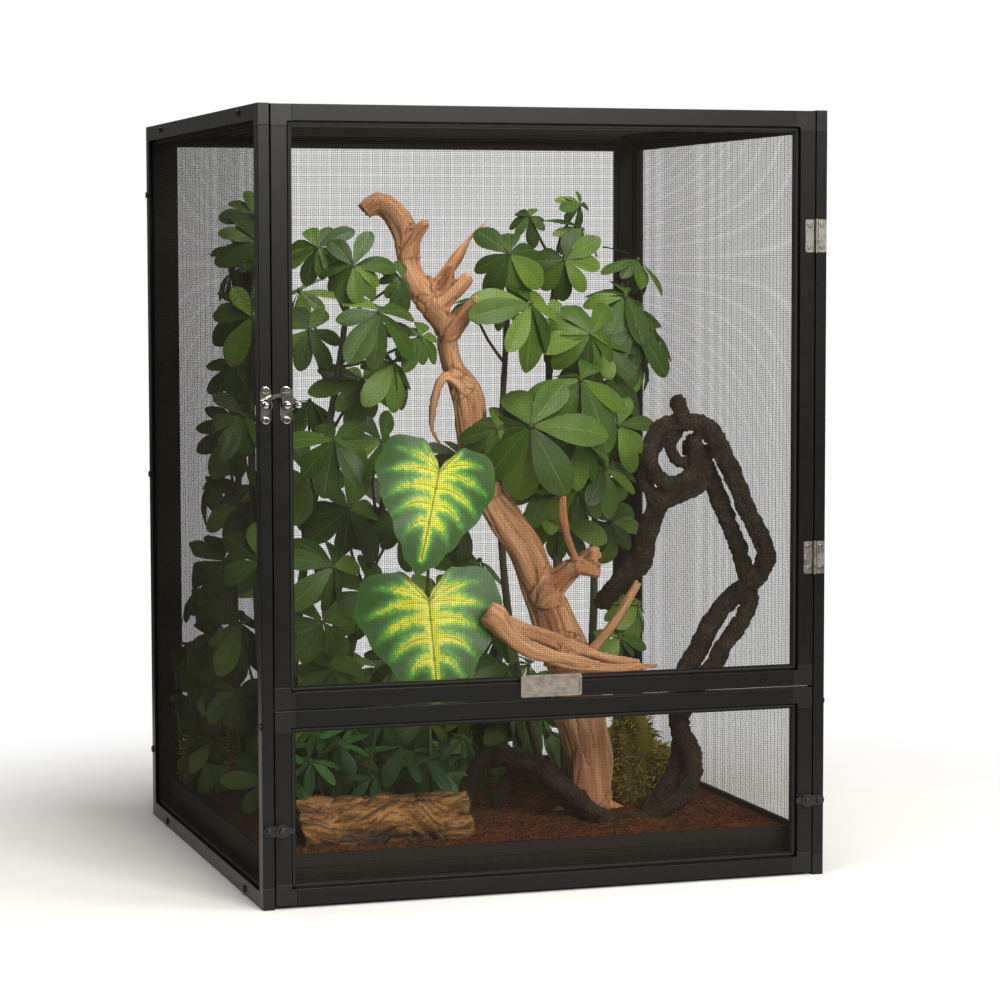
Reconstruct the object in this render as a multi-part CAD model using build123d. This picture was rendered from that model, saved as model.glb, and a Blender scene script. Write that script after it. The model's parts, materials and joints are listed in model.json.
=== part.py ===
from build123d import *
from math import cos, pi, radians, sin, sqrt
import os

# Planted screen terrarium: seven framed panels on a rectangular plan, with a hinged
# door over a tilting flap at the front, and a planted tray inside.
# Millimetres. X runs to the right, Y from the front to the back and Z up. The origin
# is on the floor, under the middle of the overall outline.

# ---- Driving dimensions ---------------------------------------------------------
width = 453.0               # over the two side panels
depth = 427.0               # from the front to the back of the side panels
height = 600.0              # of the side panels
flap_height = 147.1         # lower front flap
flap_lift = 2.5             # flap's lower edge above the floor
bottom_lift = 0.5           # bottom panel above the floor
side_gap = 0.8              # between the door or flap and each side panel
seam_gap = 1.4              # between the flap and the door
panel_gap = 0.3             # between fixed panels that are screwed together
stop_gap = 0.6              # door and flap to the panels that they close on
door_top_gap = 0.5          # door's upper edge below the top of the sides

# Frame extrusion
thick = 9.0                 # of every panel
face = 12.5                 # flat face of the extrusion
ledge = 4.0                 # screen ledge inside the face
tube_wall = 1.0
ledge_front = 3.6           # from the outer face to the ledge
ledge_back = 7.4
groove_floor = 6.2
lip = 0.8                   # each side of the spline groove
edge_radius = 0.5
leg_length = 16.0           # of a corner connector inside the tube
leg_play = 0.2
spline_play = 0.1
spline_front = 2.9          # spline crown behind the outer face
screen_thick = 0.4
screen_openings = 12        # along the longer side of a screen
screen_strand = 3.0         # width of the strands between them

# Screws that hold the panels together
screw_radius = 1.45
screw_length = 15.0
screw_head_radius = 2.8
screw_head_height = 1.7
screw_play = 0.05           # in the hole that it bites in or turns in
screw_clearance = 0.2       # in the hole that it passes through
recess_width = 0.7
recess_depth = 0.7
deck_screw_inset = 64.0     # top and bottom panel screws from the front and the back
back_screw_inset = 58.5     # upper and lower back panel screws from each end
flap_pivot_inset = 11.6     # pivot screws below the flap's upper edge

# Butt hinges
hinge_height = 25.4
hinge_reach = 8.8           # leaf's outer edge from the pin
leaf_thick = 0.9
knuckle_radius = 1.6
knuckle_clear = 0.15        # knuckle to the frame behind it
knuckle_gap = 0.12          # between knuckles, and round them
pin_radius = 0.8
pin_play = 0.05
pin_head_radius = 1.3
pin_head = 0.6
hinge_insets = (101.0, 96.5)  # middles of the hinges from the door's lower and upper edges
hinge_screw_pitch = 17.0
hinge_screw_radius = 0.9
hinge_screw_length = 3.4
hinge_head_radius = 2.1
hinge_head_height = 1.0

# Hook latch
latch_rise = 2.75           # above the middle of the door
latch_throw = 15.8          # from the strike stud to the pivot
plate_thick = 0.9
plate_height = 28.0
strike_width = 8.4
latch_plate_width = 9.6
latch_screw_pitch = 22.4
latch_screw_radius = 0.9
latch_screw_length = 3.6
latch_head_radius = 2.9
latch_head_height = 1.6
arm_layer = 2.9             # frame face to the arm's back
arm_thick = 1.2
arm_eye_radius = 3.6
arm_play = 0.05
arm_face_gap = 0.1
arm_arc = 16.0              # mean radius of the arched arm
arm_width = 3.0
arm_arc_x = -5.0            # centre of that arc from the pivot
arm_arc_z = -8.8
arm_tip_x = 8.5             # thumb ball from the pivot
thumb_radius = 2.9
pivot_radius = 1.6
pivot_collar_radius = 2.5
pivot_head_radius = 3.0
strike_radius = 2.55
hook_radius = 4.7
hook_bore = 3.5
hook_mouth_play = 0.5
strike_rise = 1.1           # strike stud's dome in front of the arm

# Turn clips on the flap
clip_z = 60.0
clip_screw_inset = 14.5     # from the outer face of the side panel
clip_thick = 2.6
clip_hub_radius = 5.2
clip_hub_height = 3.8
clip_height = 8.0
clip_tip = 9.6              # from the screw to the inner tip
clip_dome_radius = 2.9
clip_dome_height = 1.6
clip_face_gap = 0.2
clip_play = 0.05
clip_edge = 0.4             # clip's outer end inside the side panel's face

# Name plate on the door's lower rail, with nothing on it
name_width = 49.0
name_height = 17.0
name_thick = 1.4
name_rise = 9.4             # its middle above the door's lower edge

# Tray and what it holds
tray_height = 27.0
tray_wall = 2.0
tray_floor = 2.0
tray_side_gap = 2.0         # to the side panels
tray_front_gap = 12.0       # to the door and flap
tray_back_gap = 6.0
tray_seat = 0.1
rim_height = 9.5
rim_out = 1.6
soil_depth = 19.0
soil_play = 0.3
seat_gap = 0.3              # between the soil and what stands on it

# Planting: its points are laid out in an enclosure of this size
planted_width = 453.0
planted_depth = 427.0
planted_height = 600.0
cave_radius = 36.0
cave_wall = 5.0
cave_length = 146.0
cave_left = 44.0            # bark shelter's end from the left side
cave_middle = 98.0          # its middle from the front
blade_thick = 1.2           # of every leaf
leaflets = 7                # in a whorl
whorl_share = 0.72          # stiff middle of a whorl, of its full reach
whorl_slope = 53.0          # degrees that a whorl stands up from the level
stalk_radius = 1.2
gather = 0.3                # share of a stalk's spread that is there at its foot

# ---- Places that follow from them -------------------------------------------------
corner = face + ledge                        # side of a corner connector
arm_front = arm_layer + arm_thick
latch_reach = arm_front + 2.6                # furthest point in front of the frames
front = (latch_reach - depth) / 2            # Y of the side panels' front edges
back = front + depth
inner = width / 2 - thick                    # X of the side panels' inner faces
deck_front = front + thick + stop_gap
deck_back = back - thick - panel_gap
door_width = 2 * (inner - side_gap)
flap_top = flap_lift + flap_height
door_bottom = flap_top + seam_gap
door_top = height - door_top_gap
hinge_zs = (door_bottom + hinge_insets[0], door_top - hinge_insets[1])
latch_z = (door_bottom + door_top) / 2 + latch_rise
name_z = door_bottom + name_rise
pin_x = inner - side_gap / 2
pin_y = front - knuckle_radius - knuckle_clear
strike_x = -inner - thick / 2
latch_x = strike_x + latch_throw
flap_pivot_y = front + thick / 2
flap_pivot_z = flap_top - flap_pivot_inset
tray_z = bottom_lift + thick + tray_seat
soil_top = tray_z + tray_floor + soil_depth
ground = soil_top + seat_gap


def spot(from_left, from_front, up):
    """A point of the planting, which spreads with the enclosure.

    It is given from the left side, the front face and the floor of the planted size."""
    rise = (up - ground) * (height - ground) / (planted_height - ground)
    return Vector((from_left / planted_width - 0.5) * width,
                  front + from_front * depth / planted_depth, ground + rise)


def resting(from_left, from_front, radius):
    """The middle of a round piece that lies on the soil."""
    return spot(from_left, from_front, ground) + Vector(0, 0, radius)


def solids_of(shape):
    return list(shape.solids())


def group(solids):
    return Compound(children=list(solids))


def cut(solids, tool):
    """Each solid with the tool's volume taken out of it."""
    return [piece for solid in solids for piece in solids_of(solid - tool)]


def rod(start, direction, radius, length):
    """A round bar from a point along a direction."""
    plane = Plane(origin=start, z_dir=direction)
    return extrude(plane * Circle(radius), amount=length)


# ---- Framed panels ------------------------------------------------------------------
def rail_section():
    """Tube with a grooved screen ledge on its inner edge; outer face at the top."""
    tube = Pos(face / 2, -thick / 2) * RectangleRounded(face, thick, edge_radius)
    hollow = Pos(face / 2, -thick / 2) * Rectangle(face - 2 * tube_wall, thick - 2 * tube_wall)
    shelf_depth = ledge_back - ledge_front
    shelf = Pos(face - edge_radius, -ledge_front) * Rectangle(
        ledge + edge_radius, shelf_depth, align=(Align.MIN, Align.MAX))
    groove = Pos(face + lip, -ledge_front) * Rectangle(
        ledge - 2 * lip, groove_floor - ledge_front, align=(Align.MIN, Align.MAX))
    return tube + shelf - hollow - groove


def rail(length):
    return extrude(Plane.YZ * rail_section(), amount=length)


def corner_connector():
    """Square block with two legs that go into the tubes beside it."""
    block = Box(corner, corner, thick, align=(Align.MIN, Align.MIN, Align.MAX))
    block = fillet(block.edges(), edge_radius)
    notch = Pos(face, face, 0) * Box(
        corner, corner, groove_floor, align=(Align.MIN, Align.MIN, Align.MAX))
    relief = Pos(face, face, -ledge_back) * Box(
        corner, corner, thick, align=(Align.MIN, Align.MIN, Align.MAX))
    inset = tube_wall + leg_play
    leg = Pos(corner - edge_radius, inset, -inset) * Box(
        leg_length + edge_radius, face - 2 * inset, thick - 2 * inset,
        align=(Align.MIN, Align.MIN, Align.MAX))
    other_leg = mirror(leg, about=Plane(origin=(0, 0, 0), z_dir=(1, -1, 0)))
    return block - notch - relief + leg + other_leg


def spline_bead(across, up):
    """Cord pressed into the groove, in one loop round the panel."""
    inset = face + lip + spline_play
    width_of_bead = ledge - 2 * lip - 2 * spline_play
    outside = Rectangle(across - 2 * inset, up - 2 * inset)
    inset_in = inset + width_of_bead
    inside = Rectangle(across - 2 * inset_in, up - 2 * inset_in)
    bead = extrude(outside - inside, amount=groove_floor - spline_play - spline_front)
    crown = bead.faces().sort_by(Axis.Z)[-1].edges()
    bead = fillet(crown, width_of_bead * 0.35)
    return Pos(across / 2, up / 2, -groove_floor + spline_play) * bead


def board(across, up):
    """Solid sheet that lies on the ledge, inside the bead."""
    inset = face + ledge - lip + spline_play
    return [Pos(across / 2, up / 2, -ledge_front) * Box(
        across - 2 * inset, up - 2 * inset, screen_thick,
        align=(Align.CENTER, Align.CENTER, Align.MIN))]


def screen(across, up):
    """Two crossed layers of strands over the panel's window, with their ends on the ledge."""
    inset = face + ledge - lip + spline_play
    sides = (across, up)
    windows = [side - 2 * (face + ledge) for side in sides]
    layer_thick = screen_thick / 2
    strands = []
    for layer in (0, 1):
        window = windows[1 - layer]
        count = round(screen_openings * window / max(windows))
        middle = Pos(across / 2, up / 2, layer * layer_thick - ledge_front)
        for line in range(1, count):
            along = Pos(0, window * (line / count - 0.5), 0)
            strand = Box(sides[layer] - 2 * inset, screen_strand, layer_thick,
                         align=(Align.CENTER, Align.CENTER, Align.MIN))
            strands.append(middle * Rot(0, 0, 90 * layer) * along * strand)
    return strands


def framed_panel(across, up, plane, filling=screen):
    """Rails, corners, bead and screen or board of one panel, placed on its outer face."""
    turns = ((0, 0, 0), (across, 0, 90), (across, up, 180), (0, up, 270))
    rails = []
    corners = []
    for x, y, turn in turns:
        length = (across if turn % 180 == 0 else up) - 2 * corner
        place = plane.location * Pos(x, y, 0) * Rot(0, 0, turn)
        rails += solids_of(place * Pos(corner, 0, 0) * rail(length))
        corners += solids_of(place * corner_connector())
    bead = solids_of(plane.location * spline_bead(across, up))
    sheet = [plane.location * piece for piece in filling(across, up)]
    return {"rails": rails, "corners": corners, "spline": bead, "screen": sheet}


def all_panels():
    deck_across = 2 * (inner - panel_gap)
    deck_up = deck_back - deck_front
    left_edge = -inner + panel_gap
    back_up = height - 2 * bottom_lift
    door_left = -inner + side_gap
    return {
        "left": framed_panel(depth, height, Plane(
            origin=(-width / 2, back, 0), x_dir=(0, -1, 0), z_dir=(-1, 0, 0))),
        "right": framed_panel(depth, height, Plane(
            origin=(width / 2, front, 0), x_dir=(0, 1, 0), z_dir=(1, 0, 0))),
        "back": framed_panel(deck_across, back_up, Plane(
            origin=(-left_edge, back, bottom_lift), x_dir=(-1, 0, 0), z_dir=(0, 1, 0))),
        "top": framed_panel(deck_across, deck_up, Plane(
            origin=(left_edge, deck_front, height), x_dir=(1, 0, 0), z_dir=(0, 0, 1))),
        "bottom": framed_panel(deck_across, deck_up, Plane(
            origin=(left_edge, deck_back, bottom_lift), x_dir=(1, 0, 0), z_dir=(0, 0, -1)), board),
        "door": framed_panel(door_width, door_top - door_bottom, Plane(
            origin=(door_left, front, door_bottom), x_dir=(1, 0, 0), z_dir=(0, -1, 0))),
        "flap": framed_panel(door_width, flap_height, Plane(
            origin=(door_left, front, flap_lift), x_dir=(1, 0, 0), z_dir=(0, -1, 0))),
    }


# ---- Screws ---------------------------------------------------------------------------
def recessed_head(seat, outward, radius, rise):
    """Pan head with a cross recess, sitting on a face."""
    plane = Plane(origin=seat, z_dir=outward)
    head = extrude(Circle(radius), amount=rise)
    head = fillet(head.faces().sort_by(Axis.Z)[-1].edges(), rise * 0.6)
    bar = Pos(0, 0, rise) * Box(
        radius * 1.1, recess_width, recess_depth, align=(Align.CENTER, Align.CENTER, Align.MAX))
    return plane.location * (head - bar - Rot(0, 0, 90) * bar)


def screw(seat, outward, shank_radius, length, head_radius, rise):
    head = recessed_head(seat, outward, head_radius, rise)
    return solids_of(head + rod(seat, -Vector(outward), shank_radius, length))[0]


def deck_screw_spots():
    """Y and Z of the screws through each side panel into the fixed panels."""
    decks = [(y, z) for y in (front + deck_screw_inset, back - deck_screw_inset)
             for z in (bottom_lift + thick / 2, height - thick / 2)]
    stiles = [(back - thick / 2, z)
              for z in (back_screw_inset, height / 2, height - back_screw_inset)]
    return decks + stiles


def side_screws(side, spots):
    """Screws driven inwards through a side panel; side is -1 left, 1 right."""
    return [screw((side * width / 2, y, z), (side, 0, 0), screw_radius, screw_length,
                  screw_head_radius, screw_head_height) for y, z in spots]


def bore_for_side_screws(panels):
    """Clearance holes in the side panels, and close holes in what they fasten."""
    pivot = [(flap_pivot_y, flap_pivot_z)]
    for side, name in ((-1, "left"), (1, "right")):
        passing = group(rod((side * (width / 2 + thick), y, z), (-side, 0, 0),
                            screw_radius + screw_clearance, 2 * thick + panel_gap / 2)
                        for y, z in deck_screw_spots() + pivot)
        panels[name]["rails"] = cut(panels[name]["rails"], passing)
        biting = group(rod((side * (inner + panel_gap / 4), y, z), (-side, 0, 0),
                           screw_radius + screw_play, screw_length)
                       for y, z in deck_screw_spots())
        for fixed in ("back", "top", "bottom"):
            panels[fixed]["rails"] = cut(panels[fixed]["rails"], biting)
        turning = rod((side * inner, flap_pivot_y, flap_pivot_z), (-side, 0, 0),
                      screw_radius + screw_play, screw_length - thick)
        panels["flap"]["corners"] = cut(panels["flap"]["corners"], turning)


# ---- Hinges -----------------------------------------------------------------------------
def hinge_leaf(side, z, knuckles):
    """Flat leaf with its knuckles; side 1 lies on the side panel, -1 on the door."""
    clear = knuckle_radius + knuckle_gap
    flat_width = hinge_reach - clear
    flat = Pos(pin_x + side * (clear + flat_width / 2), front - leaf_thick / 2, z) * Box(
        flat_width, leaf_thick, hinge_height)
    flat = fillet(flat.edges().filter_by(Axis.Y).sort_by(Axis.X, reverse=side > 0)[:2], 1.2)
    leaf = flat
    for low, high in knuckles:
        tab_width = clear + edge_radius
        tab = Pos(pin_x + side * tab_width / 2, front - leaf_thick / 2, z + (low + high) / 2) * Box(
            tab_width, leaf_thick, high - low)
        leaf += tab + rod((pin_x, pin_y, z + low), (0, 0, 1), knuckle_radius, high - low)
    leaf -= rod((pin_x, pin_y, z - hinge_height), (0, 0, 1), pin_radius + pin_play,
                2 * hinge_height)
    return leaf


def hinge_screw_spots(side, z):
    x = pin_x + side * (hinge_reach + knuckle_radius) / 2
    return [(x, z - hinge_screw_pitch / 2), (x, z + hinge_screw_pitch / 2)]


def hinge_pieces():
    """Leaves, pins and screws of both hinges; the door leaf has the middle knuckle."""
    third = hinge_height / 6
    half = hinge_height / 2
    outer = ((-half, -third - knuckle_gap), (third + knuckle_gap, half))
    middle = ((-third, third),)
    frame_leaves = []
    door_leaves = []
    pins = []
    frame_screws = []
    door_screws = []
    for z in hinge_zs:
        for side, leaves, screws, knuckles in (
                (1, frame_leaves, frame_screws, outer), (-1, door_leaves, door_screws, middle)):
            leaf = hinge_leaf(side, z, knuckles)
            for x, hole_z in hinge_screw_spots(side, z):
                leaf -= rod((x, front, hole_z), (0, -1, 0), hinge_screw_radius + screw_play,
                            2 * leaf_thick)
                screws.append(screw((x, front - leaf_thick, hole_z), (0, -1, 0),
                                    hinge_screw_radius, hinge_screw_length,
                                    hinge_head_radius, hinge_head_height))
            leaves += solids_of(leaf)
        shaft = rod((pin_x, pin_y, z - half), (0, 0, 1), pin_radius, hinge_height)
        for end in (z - half - pin_head, z + half):
            shaft += rod((pin_x, pin_y, end), (0, 0, 1), pin_head_radius, pin_head)
        pins += solids_of(shaft)
    return {"hinge_frame_leaves": frame_leaves, "hinge_door_leaves": door_leaves,
            "hinge_pins": pins, "hinge_frame_screws": frame_screws,
            "hinge_door_screws": door_screws}


def bore_for_hinge_screws(panels):
    for side, name in ((1, "right"), (-1, "door")):
        holes = group(rod((x, front - 1, hole_z), (0, 1, 0), hinge_screw_radius + screw_play,
                          hinge_screw_length)
                      for z in hinge_zs for x, hole_z in hinge_screw_spots(side, z))
        panels[name]["rails"] = cut(panels[name]["rails"], holes)


# ---- Hook latch ---------------------------------------------------------------------------
def latch_plate(x, plate_width):
    outline = SlotCenterToCenter(plate_height - plate_width, plate_width, rotation=90)
    plate = extrude(Plane(origin=(x, front, latch_z), x_dir=(1, 0, 0), z_dir=(0, -1, 0))
                    * outline, amount=plate_thick)
    for z in latch_screw_zs():
        plate -= rod((x, front, z), (0, -1, 0), latch_screw_radius + screw_play, 2 * plate_thick)
    return plate


def latch_screw_zs():
    return (latch_z - latch_screw_pitch / 2, latch_z + latch_screw_pitch / 2)


def latch_screws(x):
    return [screw((x, front - plate_thick, z), (0, -1, 0), latch_screw_radius,
                  latch_screw_length, latch_head_radius, latch_head_height)
            for z in latch_screw_zs()]


def dome(seat, outward, radius, rise):
    """Round cap with a flat back."""
    cap = extrude(Circle(radius), amount=rise)
    cap = fillet(cap.faces().sort_by(Axis.Z)[-1].edges(), min(rise, radius) * 0.9)
    return Plane(origin=seat, z_dir=outward).location * cap


def latch_pivot():
    """Collar, neck and domed head that the arm turns on."""
    seat = (latch_x, front - plate_thick, latch_z)
    collar = rod(seat, (0, -1, 0), pivot_collar_radius, arm_layer - plate_thick - arm_face_gap)
    neck = rod(seat, (0, -1, 0), pivot_radius, arm_front + arm_face_gap - plate_thick)
    head = dome((latch_x, front - arm_front - arm_face_gap, latch_z), (0, -1, 0),
                pivot_head_radius, latch_reach - arm_front - arm_face_gap)
    return collar + neck + head


def strike_stud():
    seat = (strike_x, front - plate_thick, latch_z)
    neck = rod(seat, (0, -1, 0), strike_radius, arm_layer - plate_thick)
    head = dome((strike_x, front - arm_layer, latch_z), (0, -1, 0), strike_radius,
                arm_thick + strike_rise)
    return neck + head


def latch_arm():
    """Arched arm: an eye on the pivot, a hook over the stud and a thumb ball."""
    bow = Pos(arm_arc_x, arm_arc_z) * (
        Circle(arm_arc + arm_width / 2) - Circle(arm_arc - arm_width / 2))
    above = Pos(arm_arc_x, 0) * Rectangle(
        4 * arm_arc, 4 * arm_arc, align=(Align.CENTER, Align.MIN))
    hook = Pos(-latch_throw, 0) * Circle(hook_radius)
    bow = bow & above
    bow -= Pos(-latch_throw - hook_radius, 0) * Rectangle(
        2 * hook_radius, 2 * hook_radius, align=(Align.MAX, Align.MIN))
    web = Polygon((-arm_eye_radius, 0), (arm_eye_radius, 0), (arm_eye_radius, 4.4),
                  (0, 6.4), (-arm_eye_radius - 1, 6.6), align=None)
    blade = bow + hook + Circle(arm_eye_radius) + web
    mouth = (Circle(latch_throw + strike_radius + hook_mouth_play)
             - Circle(latch_throw - strike_radius - hook_mouth_play))
    mouth = mouth & (Pos(-latch_throw, 0) * Rectangle(
        4 * hook_radius, 2 * hook_radius, align=(Align.CENTER, Align.MAX)))
    blade = blade - mouth - Pos(-latch_throw, 0) * Circle(hook_bore)
    blade -= Circle(pivot_radius + arm_play)
    plane = Plane(origin=(latch_x, front - arm_layer, latch_z), x_dir=(1, 0, 0),
                  z_dir=(0, -1, 0))
    arm = extrude(plane * blade, amount=arm_thick)
    ball_y = front - plate_thick - seat_gap - thumb_radius
    ball = Pos(latch_x + arm_tip_x, ball_y, latch_z) * Sphere(thumb_radius)
    return arm + ball


def latch_pieces():
    pivot_post = solids_of(latch_pivot())
    return {
        "latch_plate": solids_of(latch_plate(latch_x, latch_plate_width)),
        "latch_pivot": pivot_post,
        "latch_arm": solids_of(latch_arm()),
        "latch_screws": latch_screws(latch_x),
        "strike_plate": solids_of(latch_plate(strike_x, strike_width)),
        "strike_stud": solids_of(strike_stud()),
        "strike_screws": latch_screws(strike_x),
    }


def bore_for_latch_screws(panels):
    for x, name in ((strike_x, "left"), (latch_x, "door")):
        holes = group(rod((x, front - 1, z), (0, 1, 0), latch_screw_radius + screw_play,
                          latch_screw_length + 1) for z in latch_screw_zs())
        panels[name]["rails"] = cut(panels[name]["rails"], holes)


# ---- Turn clips, plate and tray ---------------------------------------------------------------
def clip_screw_x(side):
    return side * (width / 2 - clip_screw_inset)


def turn_clip(side):
    """Bar that turns on the flap's stile and laps over the side panel."""
    half = clip_height / 2
    straight = clip_screw_inset - clip_edge - half
    bar = Pos(straight / 2, 0) * Rectangle(straight, clip_height) + Pos(straight, 0) * Circle(half)
    bar += Polygon((0, -half), (0, half), (-clip_tip, half * 0.45), (-clip_tip, -half * 0.45),
                   align=None)
    clip = extrude(bar, amount=clip_thick) + extrude(Circle(clip_hub_radius),
                                                     amount=clip_hub_height)
    clip += Pos(straight, 0, 0) * dome((0, 0, clip_thick), (0, 0, 1),
                                       clip_dome_radius, clip_dome_height)
    clip -= Cylinder(screw_radius + clip_play, 4 * clip_hub_height)
    plane = Plane(origin=(clip_screw_x(side), front - clip_face_gap, clip_z),
                  x_dir=(side, 0, 0), z_dir=(0, -1, 0))
    return solids_of(plane.location * clip)


def clip_screw(side):
    seat_y = front - clip_face_gap - clip_hub_height - clip_face_gap / 2
    return screw((clip_screw_x(side), seat_y, clip_z), (0, -1, 0), screw_radius,
                 clip_hub_height + clip_face_gap + tube_wall * 2,
                 screw_head_radius, screw_head_height * 0.7)


def bore_for_clip_screws(panels):
    holes = group(rod((clip_screw_x(side), front - 1, clip_z), (0, 1, 0),
                      screw_radius + screw_play, thick - 2) for side in (-1, 1))
    panels["flap"]["rails"] = cut(panels["flap"]["rails"], holes)


def name_plate():
    """Blank metal plate with a raised border."""
    plane = Plane(origin=(0, front, name_z), x_dir=(1, 0, 0), z_dir=(0, -1, 0))
    plate = extrude(plane * RectangleRounded(name_width, name_height, 2.0), amount=name_thick)
    field = plane.offset(name_thick - 0.5) * RectangleRounded(
        name_width - 4, name_height - 4, 1.0)
    return solids_of(plate - extrude(field, amount=1))


tray_half = inner - tray_side_gap
tray_front = front + thick + tray_front_gap
tray_back = deck_back - tray_back_gap + panel_gap


def tray_block(inset, low, high):
    """Block on the tray's plan, drawn in by an inset, between two heights."""
    return Pos(0, (tray_front + tray_back) / 2, low) * Box(
        2 * (tray_half - inset), tray_back - tray_front - 2 * inset, high - low,
        align=(Align.CENTER, Align.CENTER, Align.MIN))


def tray():
    """Open tray whose rim band stands out from its walls."""
    top = tray_z + tray_height
    body = tray_block(rim_out, tray_z, top) + tray_block(0, top - rim_height, top)
    return solids_of(body - tray_block(rim_out + tray_wall, tray_z + tray_floor, top + 1))


def substrate():
    inset = rim_out + tray_wall + soil_play
    return solids_of(tray_block(inset, tray_z + tray_floor + soil_play / 3, soil_top))


# ---- Wood, vine and plants --------------------------------------------------------------------
def limb(route, radii, sides=8):
    """Many-sided branch along a route of points, with a radius at each."""
    sections = []
    for index, point in enumerate(route):
        before = route[max(index - 1, 0)]
        after = route[min(index + 1, len(route) - 1)]
        along = (after - before).normalized()
        across = Vector(0, 1, 0) - along * along.Y
        plane = Plane(origin=point, x_dir=across, z_dir=along)
        sections.append(plane * RegularPolygon(radii[index], sides).face())
    return loft(sections, ruled=True)


def driftwood():
    """Trunk that leans back to a hooked tip, with its branches."""
    trunk = limb(
        [spot(302, 128, ground), spot(302, 128, 48), spot(299, 126, 96), spot(289, 126, 137),
         spot(276, 125, 179), spot(251, 127, 244), spot(231, 129, 277), spot(215, 132, 303),
         spot(204, 136, 350), spot(202, 142, 382), spot(196, 148, 417), spot(184, 152, 443)],
        (21, 20, 19, 18, 18, 15, 14, 14, 12, 12, 14, 13))
    crown = limb(
        [spot(186, 151, 438), spot(170, 155, 461), spot(160, 160, 483), spot(158, 165, 507),
         spot(149, 168, 525), spot(136, 170, 531), spot(125, 170, 523)],
        (13, 12, 11, 11.5, 10, 9, 7))
    stub = limb([spot(188, 150, 436), spot(200, 148, 448), spot(211, 146, 455)], (10, 8, 7))
    twig = limb([spot(170, 155, 458), spot(192, 160, 480), spot(211, 165, 501),
                 spot(228, 170, 516)], (8, 6, 3.5, 2))
    spur = limb([spot(196, 139, 384), spot(181, 138, 391), spot(171, 136, 374),
                 spot(170, 134, 352)], (5, 3.5, 3, 2.5), 6)
    arm = limb([spot(262, 122, 218), spot(281, 108, 240), spot(301, 98, 236)], (10, 8, 6))
    finger = limb([spot(283, 106, 242), spot(277, 104, 258), spot(272, 106, 282),
                   spot(273, 108, 302)], (4.5, 3.5, 3, 2.5), 6)
    burl = limb([spot(279, 124, 168), spot(268, 88, 171), spot(258, 62, 170)], (19, 13, 9))
    low_bough = limb([spot(193, 50, 214), spot(205, 50, 204), spot(226, 52, 185),
                      spot(260, 54, 171), spot(303, 56, 163), spot(334, 60, 164)],
                     (8, 9, 7, 8, 5, 3))
    spike = limb([spot(286, 100, 166), spot(310, 92, 194), spot(330, 92, 226)], (4.5, 3.5, 3), 6)
    wood = trunk + crown + stub + twig + spur + arm + finger + burl + low_bough + spike
    return solids_of(wood)


def vine():
    """Thick bendable vine: a hump on the soil, a rise to a loop and a tail."""
    hump = limb(
        [resting(208, 146, 8), spot(216, 136, 62), spot(236, 124, 76), spot(258, 110, 70),
         spot(280, 98, 56), resting(298, 86, 13), resting(318, 78, 9.6), resting(340, 78, 11),
         spot(357, 79, 56), spot(368, 76, 80), spot(370, 72, 104), spot(363, 68, 130),
         spot(359, 64, 159), spot(372, 62, 186), spot(393, 60, 214), spot(411, 60, 236),
         spot(417, 60, 256), spot(410, 62, 277), spot(398, 66, 298), spot(388, 70, 321),
         spot(380, 74, 340)],
        (7, 8, 8, 8, 8, 8, 9, 9, 9, 9, 9, 9, 10, 10, 10, 10, 10, 10, 9, 9, 9))
    loop = Plane(origin=spot(357, 79, 329), z_dir=(0.15, -1, 0.1)) * Torus(21, 8)
    tail = limb([spot(346, 84, 308), spot(341, 90, 284), spot(337, 97, 258),
                 spot(337, 106, 236), spot(322, 118, 221), spot(304, 134, 214)],
                (10, 10, 10, 9, 9, 8))
    return solids_of(hump + loop + tail)


def bark_cave():
    """Half pipe of bark that lies open at both ends on the soil."""
    ring = Circle(cave_radius) - Circle(cave_radius - cave_wall)
    ring = ring & Rectangle(3 * cave_radius, 3 * cave_radius, align=(Align.CENTER, Align.MIN))
    plane = Plane(origin=spot(cave_left, cave_middle, ground), x_dir=(0, 1, 0), z_dir=(1, 0, 0))
    return solids_of(extrude(plane * ring, amount=cave_length))


def star(reach):
    """Outline of a whorl of leaflets."""
    points = []
    for index in range(leaflets):
        turn = 2 * pi * index / leaflets
        for radius, swing in ((0.16, -pi / leaflets), (0.6, -0.24), (1.0, 0.0), (0.6, 0.24)):
            angle = turn + swing
            points.append((reach * radius * cos(angle), reach * radius * sin(angle)))
    return Polygon(*points, align=None)


def stalk(foot, plane, below):
    """Straight stalk from the soil to a leaf's back, just clear of both."""
    lean = (plane.origin - foot).normalized()
    clear = seat_gap + stalk_radius * sqrt(1 - lean.dot(plane.z_dir) ** 2)
    head = plane.from_local_coords(Vector(0, -below, -clear))
    foot += Vector(0, 0, stalk_radius * sqrt(1 - lean.Z ** 2))
    return rod(foot, head - foot, stalk_radius, (head - foot).length)


def whorl(foot, place, reach):
    """A whorl of leaflets on its own stalk."""
    facing = (0, -sin(radians(whorl_slope)), cos(radians(whorl_slope)))
    plane = Plane(origin=place, x_dir=(1, 0, 0), z_dir=facing)
    blade = extrude(plane * star(reach * whorl_share), amount=blade_thick)
    return solids_of(blade) + [stalk(foot, plane, 0)]


def bush(root, whorls):
    """Whorls whose stalks spread evenly from a root."""
    pieces = []
    for place, reach in whorls:
        lean = (place - root) * gather
        pieces += whorl(root + Vector(lean.X, lean.Y, 0), place, reach)
    return pieces


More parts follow.
